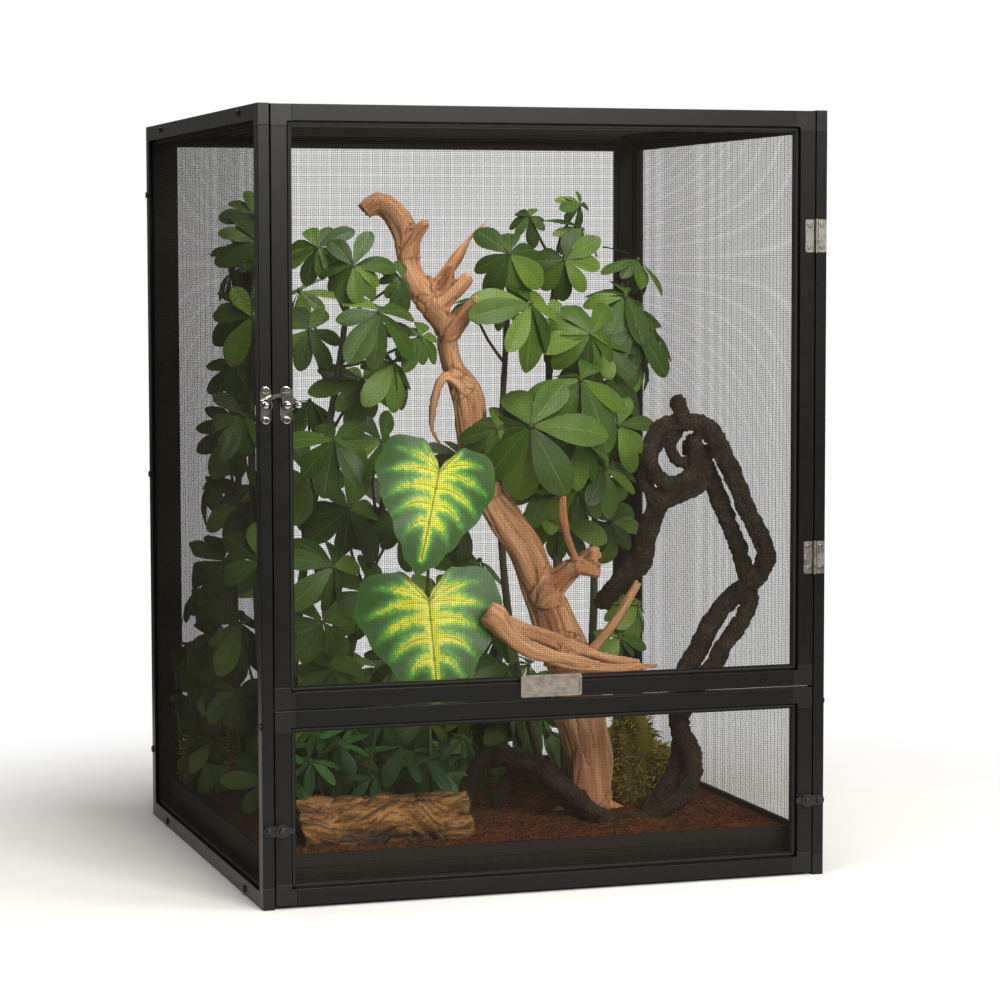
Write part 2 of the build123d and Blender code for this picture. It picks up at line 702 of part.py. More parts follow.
def left_bush():
    return bush(spot(84, 262, ground), [
        (spot(113, 85, 451), 44), (spot(98, 118, 492), 34), (spot(66, 135, 452), 32),
        (spot(60, 165, 500), 26), (spot(152, 112, 487), 26), (spot(136, 100, 396), 38),
        (spot(80, 80, 351), 46), (spot(80, 190, 418), 34), (spot(112, 185, 372), 34),
        (spot(178, 205, 371), 36), (spot(54, 250, 510), 44), (spot(48, 235, 440), 40),
        (spot(42, 300, 356), 40), (spot(47, 285, 393), 34), (spot(59, 330, 288), 38),
        (spot(44, 218, 243), 32), (spot(70, 90, 250), 42), (spot(119, 216, 311), 32),
        (spot(52, 352, 196), 36), (spot(149, 190, 262), 40)])


def right_bush():
    return whorl(spot(215, 75, ground), spot(237, 76, 355), 50) + bush(spot(318, 235, ground), [
        (spot(325, 240, 535), 26), (spot(318, 205, 508), 26), (spot(243, 128, 497), 42),
        (spot(253, 105, 448), 40), (spot(281, 92, 393), 46),
        (spot(344, 150, 453), 42), (spot(369, 215, 488), 34), (spot(307, 180, 475), 30),
        (spot(327, 150, 305), 40), (spot(289, 190, 275), 38), (spot(366, 190, 199), 34),
        (spot(248, 210, 415), 32), (spot(261, 215, 530), 28), (spot(352, 262, 242), 38),
        (spot(226, 205, 216), 38)])


def heart_outline(across, up):
    """Heart with its notch at the origin and its tip below."""
    half = across / 2
    lobe = up * 0.22
    right = Line((0, 0), (half * 0.2, lobe * 0.75)) + Spline(
        (half * 0.2, lobe * 0.75), (half * 0.62, lobe), (half, -up * 0.16),
        (half * 0.62, -up * 0.52), (0, lobe - up))
    return make_face(right + mirror(right, about=Plane.YZ))


def heart_leaf(foot, place, across, up, turn):
    """A broad leaf that faces forward, with a stalk from behind the bark."""
    plane = Plane(origin=place, x_dir=(cos(radians(turn)), 0, sin(radians(turn))),
                  z_dir=(0, -1, 0.22))
    blade = extrude(plane * heart_outline(across, up), amount=blade_thick)
    return solids_of(blade) + [stalk(foot, plane, 3 * stalk_radius)]


def heart_leaves():
    return (heart_leaf(spot(176, 150, ground), spot(152, 62, 326), 96, 98, -14)
            + heart_leaf(spot(114, 150, ground), spot(146, 66, 221), 108, 98, 2))


def ground_plant():
    """Low tufts behind the bark."""
    return bush(spot(128, 168, ground), [
        (spot(88, 150, 92), 30), (spot(146, 146, 92), 32), (spot(186, 158, 100), 28),
        (spot(124, 176, 112), 28), (spot(66, 158, 76), 24)])


def moss_clump(place, radius, rise):
    """Rounded cushion of moss."""
    cushion = extrude(Plane(origin=place) * Circle(radius), amount=rise)
    return solids_of(fillet(cushion.faces().sort_by(Axis.Z)[-1].edges(), radius * 0.75))


def moss():
    return (moss_clump(spot(392, 190, ground), 28, 54) + moss_clump(spot(38, 372, ground), 22, 62))


# ---- The whole object ---------------------------------------------------------------------------
panels = all_panels()
bore_for_side_screws(panels)
bore_for_hinge_screws(panels)
bore_for_latch_screws(panels)
bore_for_clip_screws(panels)

nodes = {}
for panel_name, pieces in panels.items():
    for piece_name, solids in pieces.items():
        nodes[panel_name + "_" + piece_name] = solids
nodes["bottom_board"] = nodes.pop("bottom_screen")
nodes.update(hinge_pieces())
nodes.update(latch_pieces())
nodes["clip_left"] = turn_clip(-1)
nodes["clip_right"] = turn_clip(1)
nodes["clip_screws"] = [clip_screw(-1), clip_screw(1)]
nodes["side_screws_left"] = side_screws(-1, deck_screw_spots())
nodes["side_screws_right"] = side_screws(1, deck_screw_spots())
nodes["flap_pivot_screws"] = [
    solid for side in (-1, 1) for solid in side_screws(side, [(flap_pivot_y, flap_pivot_z)])]
nodes["name_plate"] = name_plate()
nodes["tray"] = tray()
nodes["substrate"] = substrate()
nodes["driftwood"] = driftwood()
nodes["vine"] = vine()
nodes["bark_cave"] = bark_cave()
nodes["left_bush"] = left_bush()
nodes["right_bush"] = right_bush()
nodes["heart_leaves"] = heart_leaves()
nodes["ground_plant"] = ground_plant()
nodes["moss"] = moss()

os.makedirs("parts", exist_ok=True)
for node_name, solids in nodes.items():
    export_step(group(solids), "parts/" + node_name + ".step")
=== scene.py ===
import json
from math import cos, exp, pi, radians, sin, sqrt
import random

import bpy
from mathutils import Matrix, Vector, noise
from mathutils.kdtree import KDTree


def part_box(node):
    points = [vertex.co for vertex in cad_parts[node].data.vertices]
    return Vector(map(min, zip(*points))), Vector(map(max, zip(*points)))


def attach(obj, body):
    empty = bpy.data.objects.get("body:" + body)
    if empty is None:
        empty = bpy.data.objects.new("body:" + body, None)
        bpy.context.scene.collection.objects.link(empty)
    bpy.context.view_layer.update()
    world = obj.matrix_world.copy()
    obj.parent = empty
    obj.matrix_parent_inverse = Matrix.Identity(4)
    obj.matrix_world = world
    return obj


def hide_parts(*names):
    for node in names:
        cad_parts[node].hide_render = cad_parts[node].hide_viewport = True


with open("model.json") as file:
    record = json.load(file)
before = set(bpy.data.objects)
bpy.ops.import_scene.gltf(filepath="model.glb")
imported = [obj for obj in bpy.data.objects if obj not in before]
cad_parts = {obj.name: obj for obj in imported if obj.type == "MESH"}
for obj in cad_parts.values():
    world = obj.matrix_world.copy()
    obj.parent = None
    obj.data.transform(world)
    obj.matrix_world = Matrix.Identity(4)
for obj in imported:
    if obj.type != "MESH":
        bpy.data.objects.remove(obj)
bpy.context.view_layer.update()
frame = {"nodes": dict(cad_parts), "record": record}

bl_info = {
    "name": "Planted Screen Terrarium",
    "version": (1, 0, 0),
    "blender": (4, 5, 0),
    "location": "3D View > Sidebar > Terrarium",
    "description": "Dresses the terrarium frame with mesh, hardware finishes, soil, wood and plants",
    "category": "Object",
}

MM = 0.001
SIDE_LOW, SIDE_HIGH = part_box("left_corners")
LEFT = SIDE_LOW.x
FRONT = SIDE_LOW.y
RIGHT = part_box("right_corners")[1].x
BACK = SIDE_HIGH.y
SOIL_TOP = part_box("substrate")[1].z
SCREENS = {
    "left_screen": "enclosure", "right_screen": "enclosure", "back_screen": "enclosure",
    "top_screen": "enclosure", "door_screen": "door", "flap_screen": "flap",
}


def at(from_left, from_front, up):
    """A place in metres, from millimetres off the left side, the front and the floor."""
    return Vector((LEFT + from_left * MM, FRONT + from_front * MM, up * MM))


# ---- Finishes ---------------------------------------------------------------------
def start_finish(name, roughness, metallic=0.0, specular=0.5):
    finish = bpy.data.materials.new(name)
    finish.use_nodes = True
    shader = finish.node_tree.nodes["Principled BSDF"]
    shader.inputs["Roughness"].default_value = roughness
    shader.inputs["Metallic"].default_value = metallic
    shader.inputs["Specular IOR Level"].default_value = specular
    return finish, finish.node_tree, shader


def object_place(tree):
    return tree.nodes.new("ShaderNodeTexCoord").outputs["Object"]


def stored(tree, name):
    """Separate X, Y and Z of a value stored on the vertices, and the whole vector."""
    attribute = tree.nodes.new("ShaderNodeAttribute")
    attribute.attribute_name = name
    split = tree.nodes.new("ShaderNodeSeparateXYZ")
    tree.links.new(attribute.outputs["Vector"], split.inputs[0])
    return attribute.outputs["Vector"], split.outputs


def speckle(tree, source, density, detail=3.0, rough=0.55):
    """Noise with so many features a unit along each axis."""
    mapping = tree.nodes.new("ShaderNodeMapping")
    mapping.inputs["Scale"].default_value = density
    cloud = tree.nodes.new("ShaderNodeTexNoise")
    cloud.inputs["Scale"].default_value = 1.0
    cloud.inputs["Detail"].default_value = detail
    cloud.inputs["Roughness"].default_value = rough
    tree.links.new(source, mapping.inputs["Vector"])
    tree.links.new(mapping.outputs["Vector"], cloud.inputs["Vector"])
    return cloud.outputs["Fac"]


def combined(tree, operation, first, second, clamp=False):
    node = tree.nodes.new("ShaderNodeMath")
    node.operation = operation
    node.use_clamp = clamp
    for socket, value in zip(node.inputs, (first, second)):
        if isinstance(value, (int, float)):
            socket.default_value = value
        else:
            tree.links.new(value, socket)
    return node.outputs[0]


def eased(tree, value, low, high, low_out=0.0, high_out=1.0):
    """Value between two limits brought smoothly to another range."""
    node = tree.nodes.new("ShaderNodeMapRange")
    node.interpolation_type = "SMOOTHSTEP"
    for name, number in (("From Min", low), ("From Max", high),
                         ("To Min", low_out), ("To Max", high_out)):
        node.inputs[name].default_value = number
    tree.links.new(value, node.inputs["Value"])
    return node.outputs["Result"]


def shades(tree, factor, stops):
    """Colours picked along a factor."""
    node = tree.nodes.new("ShaderNodeValToRGB")
    ramp = node.color_ramp.elements
    ramp[0].position, ramp[1].position = stops[0][0], stops[-1][0]
    ramp[0].color, ramp[1].color = (*stops[0][1], 1), (*stops[-1][1], 1)
    for position, colour in stops[1:-1]:
        ramp.new(position).color = (*colour, 1)
    tree.links.new(factor, node.inputs["Fac"])
    return node.outputs["Color"]


def blended(tree, factor, first, second, mode="MIX"):
    node = tree.nodes.new("ShaderNodeMix")
    node.data_type = "RGBA"
    node.blend_type = mode
    for socket, value in ((node.inputs[0], factor), (node.inputs[6], first),
                          (node.inputs[7], second)):
        if isinstance(value, float):
            socket.default_value = value
        elif isinstance(value, tuple):
            socket.default_value = (*value, 1)
        else:
            tree.links.new(value, socket)
    return node.outputs[2]


def relief(tree, shader, height, depth, strength=1.0):
    """Bump of a depth in metres, on top of any that the shader has already."""
    bump = tree.nodes.new("ShaderNodeBump")
    bump.inputs["Distance"].default_value = depth
    bump.inputs["Strength"].default_value = strength
    tree.links.new(height, bump.inputs["Height"])
    for link in shader.inputs["Normal"].links:
        tree.links.new(link.from_socket, bump.inputs["Normal"])
    tree.links.new(bump.outputs["Normal"], shader.inputs["Normal"])


def tone(colour, factor):
    return tuple(min(1.0, channel * factor) for channel in colour[:3])


def coated_metal(name, colour, roughness, specular=0.17):
    """Powder coat or moulded plastic: fine grain, faint cloudiness, dust in the roughness."""
    finish, tree, shader = start_finish(name, roughness, specular=specular)
    place = object_place(tree)
    cloud = speckle(tree, place, (22, 22, 22), 4)
    tree.links.new(shades(tree, cloud, [(0.3, tone(colour, 0.92)), (0.7, tone(colour, 1.08))]),
                   shader.inputs["Base Color"])
    dust = speckle(tree, place, (160, 160, 160), 5, 0.7)
    tree.links.new(eased(tree, dust, 0.3, 0.75, roughness - 0.02, roughness + 0.035),
                   shader.inputs["Roughness"])
    relief(tree, shader, speckle(tree, place, (2600, 2600, 2600), 2), 0.00005, 0.35)
    return finish


def brushed_metal(name, colour, roughness, brush, wear=0.25):
    """Bare metal with brush lines; brush is the line density along each axis."""
    finish, tree, shader = start_finish(name, roughness, 1.0)
    place = object_place(tree)
    lines = speckle(tree, place, brush, 2, 0.6)
    smudge = speckle(tree, place, (230, 230, 230), 4, 0.65)
    mixed = combined(tree, "ADD", combined(tree, "MULTIPLY", lines, 0.6),
                     combined(tree, "MULTIPLY", smudge, 0.4))
    tree.links.new(shades(tree, mixed, [(0.25, tone(colour, 1 - wear)), (0.5, tone(colour, 1)),
                                        (0.8, tone(colour, 1 + wear))]),
                   shader.inputs["Base Color"])
    tree.links.new(eased(tree, smudge, 0.25, 0.8, roughness * 0.8, roughness * 1.5),
                   shader.inputs["Roughness"])
    relief(tree, shader, lines, 0.00003, 0.4)
    return finish


def soil_finish(name, colour):
    """Crumbly fibre in several browns."""
    finish, tree, shader = start_finish(name, 0.95, specular=0.15)
    place = object_place(tree)
    crumbs = tree.nodes.new("ShaderNodeTexVoronoi")
    crumbs.inputs["Scale"].default_value = 420
    tree.links.new(place, crumbs.inputs["Vector"])
    split = tree.nodes.new("ShaderNodeSeparateXYZ")
    tree.links.new(crumbs.outputs["Color"], split.inputs[0])
    cloud = speckle(tree, place, (35, 35, 35), 5, 0.6)
    mixed = combined(tree, "ADD", combined(tree, "MULTIPLY", split.outputs["X"], 0.55),
                     combined(tree, "MULTIPLY", cloud, 0.5))
    tree.links.new(shades(tree, mixed, [(0.15, tone(colour, 0.3)), (0.45, tone(colour, 0.9)),
                                        (0.7, tone(colour, 1.7)), (0.95, tone(colour, 3.0))]),
                   shader.inputs["Base Color"])
    relief(tree, shader, crumbs.outputs["Distance"], 0.0012, 0.9)
    relief(tree, shader, speckle(tree, place, (1500, 1500, 1500), 3), 0.0003, 0.8)
    return finish


def wood_finish(name, pale, dark, density=1.0):
    """Weathered wood whose grain follows each branch, with painted shade darkening its hollows."""
    finish, tree, shader = start_finish(name, 0.72, specular=0.3)
    grain, _ = stored(tree, "grain")
    across = 0.33 * density
    streaks = speckle(tree, grain, (across, across, 0.018), 5, 0.62)
    patches = speckle(tree, grain, (0.07, 0.07, 0.012), 3, 0.5)
    fibres = speckle(tree, grain, (1.6, 1.6, 0.06), 3, 0.7)
    mixed = combined(tree, "ADD", combined(tree, "MULTIPLY", streaks, 0.5),
                     combined(tree, "MULTIPLY", patches, 0.5))
    body = shades(tree, mixed, [(0.28, tone(dark, 0.7)), (0.42, dark), (0.55, tone(pale, 0.8)),
                                (0.72, tone(pale, 1.25))])
    fibred = blended(tree, eased(tree, fibres, 0.25, 0.5, 0.55, 0.0), body, tone(dark, 0.5))
    # Painted shade: where the skin curves inward (low pointiness), the colour is darkened as if
    # shadowed.
    painted_hollow_shade = eased(tree, tree.nodes.new("ShaderNodeNewGeometry").outputs["Pointiness"],
                   0.45, 0.5, 0.65, 0.0)
    tree.links.new(blended(tree, painted_hollow_shade, fibred, tone(dark, 0.35)),
                   shader.inputs["Base Color"])
    relief(tree, shader, streaks, 0.0011, 0.8)
    relief(tree, shader, fibres, 0.0004, 0.7)
    return finish


def vine_finish(name, colour):
    """Dark rubbery core rolled in bark crumbs."""
    finish, tree, shader = start_finish(name, 0.9, specular=0.25)
    place = object_place(tree)
    crumbs = speckle(tree, place, (620, 620, 620), 4, 0.75)
    cloud = speckle(tree, place, (70, 70, 70), 3)
    mixed = combined(tree, "ADD", combined(tree, "MULTIPLY", crumbs, 0.7),
                     combined(tree, "MULTIPLY", cloud, 0.3))
    tree.links.new(shades(tree, mixed, [(0.36, tone(colour, 0.25)), (0.5, colour),
                                        (0.6, tone(colour, 3.2))]),
                   shader.inputs["Base Color"])
    relief(tree, shader, crumbs, 0.0016, 1.0)
    return finish


def leaf_finish(name, colour, young, gloss=0.42):
    """Leaf with a pale midrib, faint side veins and a tint of its own."""
    finish, tree, shader = start_finish(name, gloss, specular=0.3)
    _, blade = stored(tree, "grain")
    across = combined(tree, "ABSOLUTE", blade["X"], 0.0)
    place = object_place(tree)
    mottle = speckle(tree, place, (90, 90, 90), 4)
    tint = combined(tree, "ADD", combined(tree, "MULTIPLY", blade["Z"], 0.75),
                    combined(tree, "MULTIPLY", mottle, 0.25))
    body = shades(tree, tint, [(0.05, tone(colour, 0.34)), (0.5, tone(colour, 0.86)),
                               (0.97, young)])
    slant = combined(tree, "SUBTRACT", combined(tree, "MULTIPLY", blade["Y"], 9.0),
                     combined(tree, "MULTIPLY", across, 2.2))
    wave = combined(tree, "ABSOLUTE", combined(tree, "SUBTRACT", combined(
        tree, "FRACT", slant, 0.0), 0.5), 0.0)
    side_vein = eased(tree, wave, 0.0, 0.07, 0.2, 0.0)
    midrib = eased(tree, across, 0.01, 0.04, 0.36, 0.0)
    veined = blended(tree, side_vein, body, tone(young, 1.25))
    tree.links.new(blended(tree, midrib, veined, tone(young, 1.7)), shader.inputs["Base Color"])
    relief(tree, shader, combined(tree, "MAXIMUM", side_vein, midrib), 0.0005, 0.6)
    relief(tree, shader, speckle(tree, place, (900, 900, 900), 2), 0.00008, 0.4)
    return finish


def heart_finish(name, blade_colour, band_colour):
    """Green leaf with yellow bands along its veins and a thin dark line in each."""
    finish, tree, shader = start_finish(name, 0.4)
    _, vein = stored(tree, "grain")
    place = object_place(tree)
    flecks = speckle(tree, place, (330, 330, 330), 4, 0.65)
    cloud = speckle(tree, place, (60, 60, 60), 3)
    wander = combined(tree, "SUBTRACT", combined(tree, "ADD", combined(
        tree, "MULTIPLY", flecks, 0.7), combined(tree, "MULTIPLY", cloud, 0.7)), 0.7)
    band = combined(tree, "ADD", vein["X"], wander)
    body = shades(tree, band, [(0.0, tone(band_colour, 1.1)), (0.16, band_colour),
                               (0.42, tone(blade_colour, 2.4)), (0.72, blade_colour),
                               (1.0, tone(blade_colour, 0.6))])
    line = eased(tree, vein["Y"], 0.25, 0.75, 0.8, 0.0)
    lined = blended(tree, line, body, tone(blade_colour, 0.8))
    margin = eased(tree, vein["Z"], 0.0, 0.14, 0.85, 0.0)
    tree.links.new(blended(tree, margin, lined, tone(blade_colour, 0.75)),
                   shader.inputs["Base Color"])
    relief(tree, shader, line, 0.0004, 0.5)
    weave = tree.nodes.new("ShaderNodeTexChecker")
    weave.inputs["Scale"].default_value = 2200
    tree.links.new(place, weave.inputs["Vector"])
    relief(tree, shader, weave.outputs["Fac"], 0.00006, 0.3)
    return finish


def moss_finish(name, colour, tip_colour):
    finish, tree, shader = start_finish(name, 0.85, specular=0.2)
    _, strand = stored(tree, "grain")
    mixed = combined(tree, "ADD", combined(tree, "MULTIPLY", strand["Y"], 0.7),
                     combined(tree, "MULTIPLY", strand["Z"], 0.4))
    tree.links.new(shades(tree, mixed, [(0.1, tone(colour, 0.3)), (0.5, colour),
                                        (0.95, tip_colour)]), shader.inputs["Base Color"])
    relief(tree, shader, speckle(tree, object_place(tree), (1200, 1200, 1200), 2), 0.0001, 0.5)
    return finish


def stalk_finish(name, colour):
    finish, tree, shader = start_finish(name, 0.5)
    grain, _ = stored(tree, "grain")
    streaks = speckle(tree, grain, (0.8, 0.8, 0.05), 3)
    tree.links.new(shades(tree, streaks, [(0.3, tone(colour, 0.6)), (0.7, tone(colour, 1.4))]),
                   shader.inputs["Base Color"])
    relief(tree, shader, streaks, 0.0002, 0.5)
    return finish


# ---- Building meshes ----------------------------------------------------------------
class Growth:
    """Points, faces and a value for each point of a piece in the making."""

    def __init__(self):
        self.points = []
        self.faces = []
        self.grain = []

    def add_grid(self, rows, closed=False):
        """Rows of (point, grain) pairs joined by faces; closed joins each row's ends."""
        first = len(self.points)
        across = len(rows[0])
        for row in rows:
            for point, value in row:
                self.points.append(point)
                self.grain.append(value)
        for r in range(len(rows) - 1):
            for c in range(across if closed else across - 1):
                low = first + r * across
                after = (c + 1) % across
                self.faces.append((low + c, low + after, low + across + after,
                                   low + across + c))
        return first, across

    def add_cap(self, first, count, reverse=False):
        """One face over a ring of points."""
        ring = list(range(first, first + count))
        self.faces.append(tuple(reversed(ring)) if reverse else tuple(ring))

    def mesh(self, name):
        mesh = bpy.data.meshes.new(name)
        mesh.from_pydata([tuple(p) for p in self.points], [], self.faces)
        store_grain(mesh, self.grain)
        mesh.update()
        return mesh


def store_grain(mesh, values):
    attribute = mesh.attributes.new("grain", "FLOAT_VECTOR", "POINT")
    attribute.data.foreach_set("vector", [number for value in values for number in value])


def add_piece(name, mesh, body, finish, stands_for=(), smooth=True):
    """Links a mesh as a piece that rides on a body and may replace solids."""
    piece = bpy.data.objects.new(name, mesh)
    bpy.context.scene.collection.objects.link(piece)
    mesh.materials.clear()
    mesh.materials.append(finish)
    mesh.polygons.foreach_set("use_smooth", [smooth] * len(mesh.polygons))
    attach(piece, body)
    if stands_for:
        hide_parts(*stands_for)
    return piece


def smoothed(route, step):
    """Points, radii and distances along a smooth line through (point, radius) pairs."""
    ends = [route[0], *route, route[-1]]
    samples = []
    along = 0.0
    for index in range(len(route) - 1):
        (a, ra), (b, rb), (c, rc), (d, rd) = ends[index:index + 4]
        count = max(2, int((c - b).length / step))
        for part in range(count + (index == len(route) - 2)):
            t = part / count
            point = 0.5 * (2 * b + (c - a) * t + (2 * a - 5 * b + 4 * c - d) * t * t
                           + (3 * b - a - 3 * c + d) * t ** 3)
            radius = rb + (rc - rb) * t * t * (3 - 2 * t)
            if samples:
                along += (point - samples[-1][0]).length
            samples.append((point, radius, along))
    return samples


def with_frames(samples):
    """Adds a tangent and two steady cross directions to each sample."""
    framed = []
    side = None
    for index, (point, radius, along) in enumerate(samples):
        before = samples[max(index - 1, 0)][0]
        after = samples[min(index + 1, len(samples) - 1)][0]
        tangent = (after - before).normalized()
        if side is None:
            side = tangent.orthogonal().normalized()
        side = (side - tangent * side.dot(tangent)).normalized()
        framed.append((point, tangent, side, tangent.cross(side), radius, along))
    return framed


def add_tube(growth, framed, sides, shape=None):
    """A closed tube along framed samples; shape scales the radius by angle and distance."""
    rows = []
    for point, _, side, up, radius, along in framed:
        row = []
        for turn in range(sides):
            angle = 2 * pi * turn / sides
            reach = radius * (shape(angle, along) if shape else 1.0)
            offset = (side * cos(angle) + up * sin(angle)) * reach
            row.append((point + offset, (offset.dot(side) / MM, offset.dot(up) / MM,
                                         along / MM)))
        rows.append(row)
    first, across = growth.add_grid(rows, closed=True)
    growth.add_cap(first, across, reverse=True)
    growth.add_cap(first + (len(rows) - 1) * across, across)


def fused(growth, voxel):
    """One skin over all the closed forms of a growth."""
    mesh = growth.mesh("fusing")
    holder = bpy.data.objects.new("fusing", mesh)
    bpy.context.scene.collection.objects.link(holder)
    modifier = holder.modifiers.new("fuse", "REMESH")
    modifier.mode = "VOXEL"
    modifier.voxel_size = voxel
    modifier.adaptivity = 0.0
    smoothing = holder.modifiers.new("smooth", "SMOOTH")
    smoothing.iterations = 3
    result = bpy.data.meshes.new_from_object(
        holder.evaluated_get(bpy.context.evaluated_depsgraph_get()))
    bpy.data.objects.remove(holder)
    bpy.data.meshes.remove(mesh)
    if not result.vertices:
        raise RuntimeError("the forms could not be fused")
    return result


def roughened(mesh, spine, height):
    """Moves each point along its normal by a height in mm read in its branch's own frame."""
    tree = KDTree(len(spine))
    for index, sample in enumerate(spine):
        tree.insert(sample[0], index)
    tree.balance()
    for name in [a.name for a in mesh.attributes if a.name == "grain"]:
        mesh.attributes.remove(mesh.attributes[name])
    normals = [v.normal.copy() for v in mesh.vertices]
    values = []
    for vertex, normal in zip(mesh.vertices, normals):
        point, tangent, side, up, _, along = spine[tree.find(vertex.co)[1]]
        offset = vertex.co - point
        local = Vector((offset.dot(side), offset.dot(up), along + offset.dot(tangent))) / MM
        values.append(tuple(local))
        vertex.co += normal * height(local) * MM
    store_grain(mesh, values)
    mesh.update()
    return mesh


def stretched_noise(local, across, along, seed=0.0):
    return noise.noise(Vector((local.x / across + seed, local.y / across, local.z / along)))


# ---- Screens ------------------------------------------------------------------------
def wire_screen(low, high, pitch, wire):
    """Two layers of straight wires that cross over the sheet's place."""
    size = high - low
    thin = min(range(3), key=lambda axis: size[axis])
    flat = [axis for axis in range(3) if axis != thin]
    middle = (low + high) / 2
    growth = Growth()
    for layer, (along, across) in enumerate((flat, flat[::-1])):
        count = int(size[across] / pitch)
        start = middle[across] - (count - 1) * pitch / 2
        level = middle[thin] + (layer - 0.5) * wire * 0.92
        for index in range(count):
            centre = start + index * pitch
            rows = []
            for end in (low[along], high[along]):
                row = []
                for lift, shift in ((1, 0), (0, 1), (-1, 0), (0, -1)):
                    point = [0.0, 0.0, 0.0]
                    point[along] = end
                    point[across] = centre + shift * wire / 2
                    point[thin] = level + lift * wire / 2
                    row.append((Vector(point), (0.0, 0.0, index % 7 / 7)))
                rows.append(row)
            growth.add_grid(rows, closed=True)
    return growth.mesh("screen wires")


class TerrariumScreens(bpy.types.PropertyGroup):
    pitch: bpy.props.FloatProperty(
        name="Wire Pitch", description="Distance between neighbouring wires of the mesh",
        default=1.5 * MM, min=0.5 * MM, subtype="DISTANCE", unit="LENGTH")
    wire: bpy.props.FloatProperty(
        name="Wire Diameter", description="Thickness of one wire of the mesh",
        default=0.21 * MM, min=0.05 * MM, subtype="DISTANCE", unit="LENGTH")
    colour: bpy.props.FloatVectorProperty(
        name="Wire Colour", description="Colour of the coated wires", subtype="COLOR",
        default=(0.027, 0.0215, 0.0145), min=0, max=1)


class TERRARIUM_OT_screens(bpy.types.Operator):
    """Weaves a wire screen in place of each panel's sheet"""
    bl_idname = "terrarium.screens"
    bl_label = "Weave Screens"

    def execute(self, context):
        settings = context.scene.terrarium_screens
        finish = coated_metal("coated screen wire", settings.colour, 0.5)
        for node, body in SCREENS.items():
            low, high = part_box(node)
            mesh = wire_screen(low, high, settings.pitch, settings.wire)
            add_piece(node.replace("screen", "mesh"), mesh, body, finish, [node],
                      smooth=False)
        return {"FINISHED"}


# ---- Frame and hardware finishes --------------------------------------------------------
class TerrariumFrame(bpy.types.PropertyGroup):
    frame_colour: bpy.props.FloatVectorProperty(
        name="Frame Colour", description="Colour of the coated extrusions", subtype="COLOR",
        default=(0.0055, 0.005, 0.0043), min=0, max=1)
    connector_colour: bpy.props.FloatVectorProperty(
        name="Connector Colour", description="Colour of the moulded corners", subtype="COLOR",
        default=(0.009, 0.0085, 0.0077), min=0, max=1)
    hinge_colour: bpy.props.FloatVectorProperty(
        name="Hinge Colour", description="Colour of the hinges' steel", subtype="COLOR",
        default=(0.2, 0.188, 0.17), min=0, max=1)
    latch_colour: bpy.props.FloatVectorProperty(
        name="Latch Colour", description="Colour of the latch's plating", subtype="COLOR",
        default=(0.47, 0.45, 0.41), min=0, max=1)
    gloss: bpy.props.FloatProperty(
        name="Frame Roughness", description="Roughness of the frame's coating",
        default=0.3, min=0.05, max=1, subtype="FACTOR")


class TERRARIUM_OT_frame(bpy.types.Operator):
    """Gives the panels, tray and hardware their finishes"""
    bl_idname = "terrarium.frame"
    bl_label = "Finish Frame"

    def execute(self, context):
        settings = context.scene.terrarium_frame
        steel = tuple(settings.hinge_colour)
        plating = tuple(settings.latch_colour)
        finishes = {
            "frame": coated_metal("satin black coating", settings.frame_colour, settings.gloss),
            "connector": coated_metal("moulded corner", settings.connector_colour, 0.3, 0.2),
            "spline": coated_metal("spline rubber", (0.012, 0.012, 0.011), 0.6),
            "screen": coated_metal("screen sheet", (0.03, 0.03, 0.03), 0.5),
            "board": coated_metal("base board", (0.015, 0.015, 0.014), 0.7),
            "black_screw": brushed_metal("blackened screw", (0.045, 0.042, 0.038), 0.2,
                                         (900, 900, 900)),
            "hinge_steel": brushed_metal("brushed hinge steel", steel, 0.36, (60, 900, 1400)),
            "nickel": brushed_metal("polished nickel", plating, 0.13, (500, 500, 500), 0.12),
            "clip": coated_metal("clip plastic", (0.016, 0.016, 0.015), 0.24),
            "plate": brushed_metal("brushed name plate", (0.22, 0.198, 0.17), 0.42,
                                   (40, 900, 1500)),
            "tray": coated_metal("tray plastic", (0.012, 0.0112, 0.0102), 0.45),
        }
        slots = {part["node"]: part["material_slot"] for part in frame["record"]["subparts"]}
        for node, solid in frame["nodes"].items():
            if slots[node] in finishes:
                solid.data.materials.clear()
                solid.data.materials.append(finishes[slots[node]])
        return {"FINISHED"}


# ---- Soil ---------------------------------------------------------------------------
class TerrariumSoil(bpy.types.PropertyGroup):
    heap: bpy.props.FloatProperty(
        name="Heap Height", description="How far the soil rises round the wood",
        default=9 * MM, min=0, subtype="DISTANCE", unit="LENGTH")
    crumbs: bpy.props.IntProperty(
        name="Loose Crumbs", description="Number of loose pieces on the soil", default=2600,
        min=0)
    colour: bpy.props.FloatVectorProperty(
        name="Soil Colour", description="Middle colour of the soil", subtype="COLOR",
        default=(0.083, 0.0255, 0.0068), min=0, max=1)


def soil_height(x, y, heap):
    """Height of the soil over a place, in metres."""
    low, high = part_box("substrate")
    edge = min(x - low.x, high.x - x, y - low.y, high.y - y)
    spread = Vector((x, y, 0.0))
    rise = 0.0
    for place, width in ((at(300, 122, 0), 46), (at(220, 140, 0), 50), (at(90, 190, 0), 60),
                         (at(330, 90, 0), 30), (at(330, 240, 0), 55)):
        gap = (spread - place) / (width * MM)
        rise += heap * 0.75 * exp(-(gap.x ** 2 + gap.y ** 2))
    roll = noise.noise(spread * 28) * 2.2 * MM + noise.noise(spread * 95) * 1.4 * MM
    crumb = noise.noise(spread * 330) * 1.1 * MM + noise.noise(spread * 800) * 0.5 * MM
    fade = min(1.0, max(0.0, edge / (14 * MM)))
    return high.z + 2.2 * MM + fade * (rise + roll) + crumb


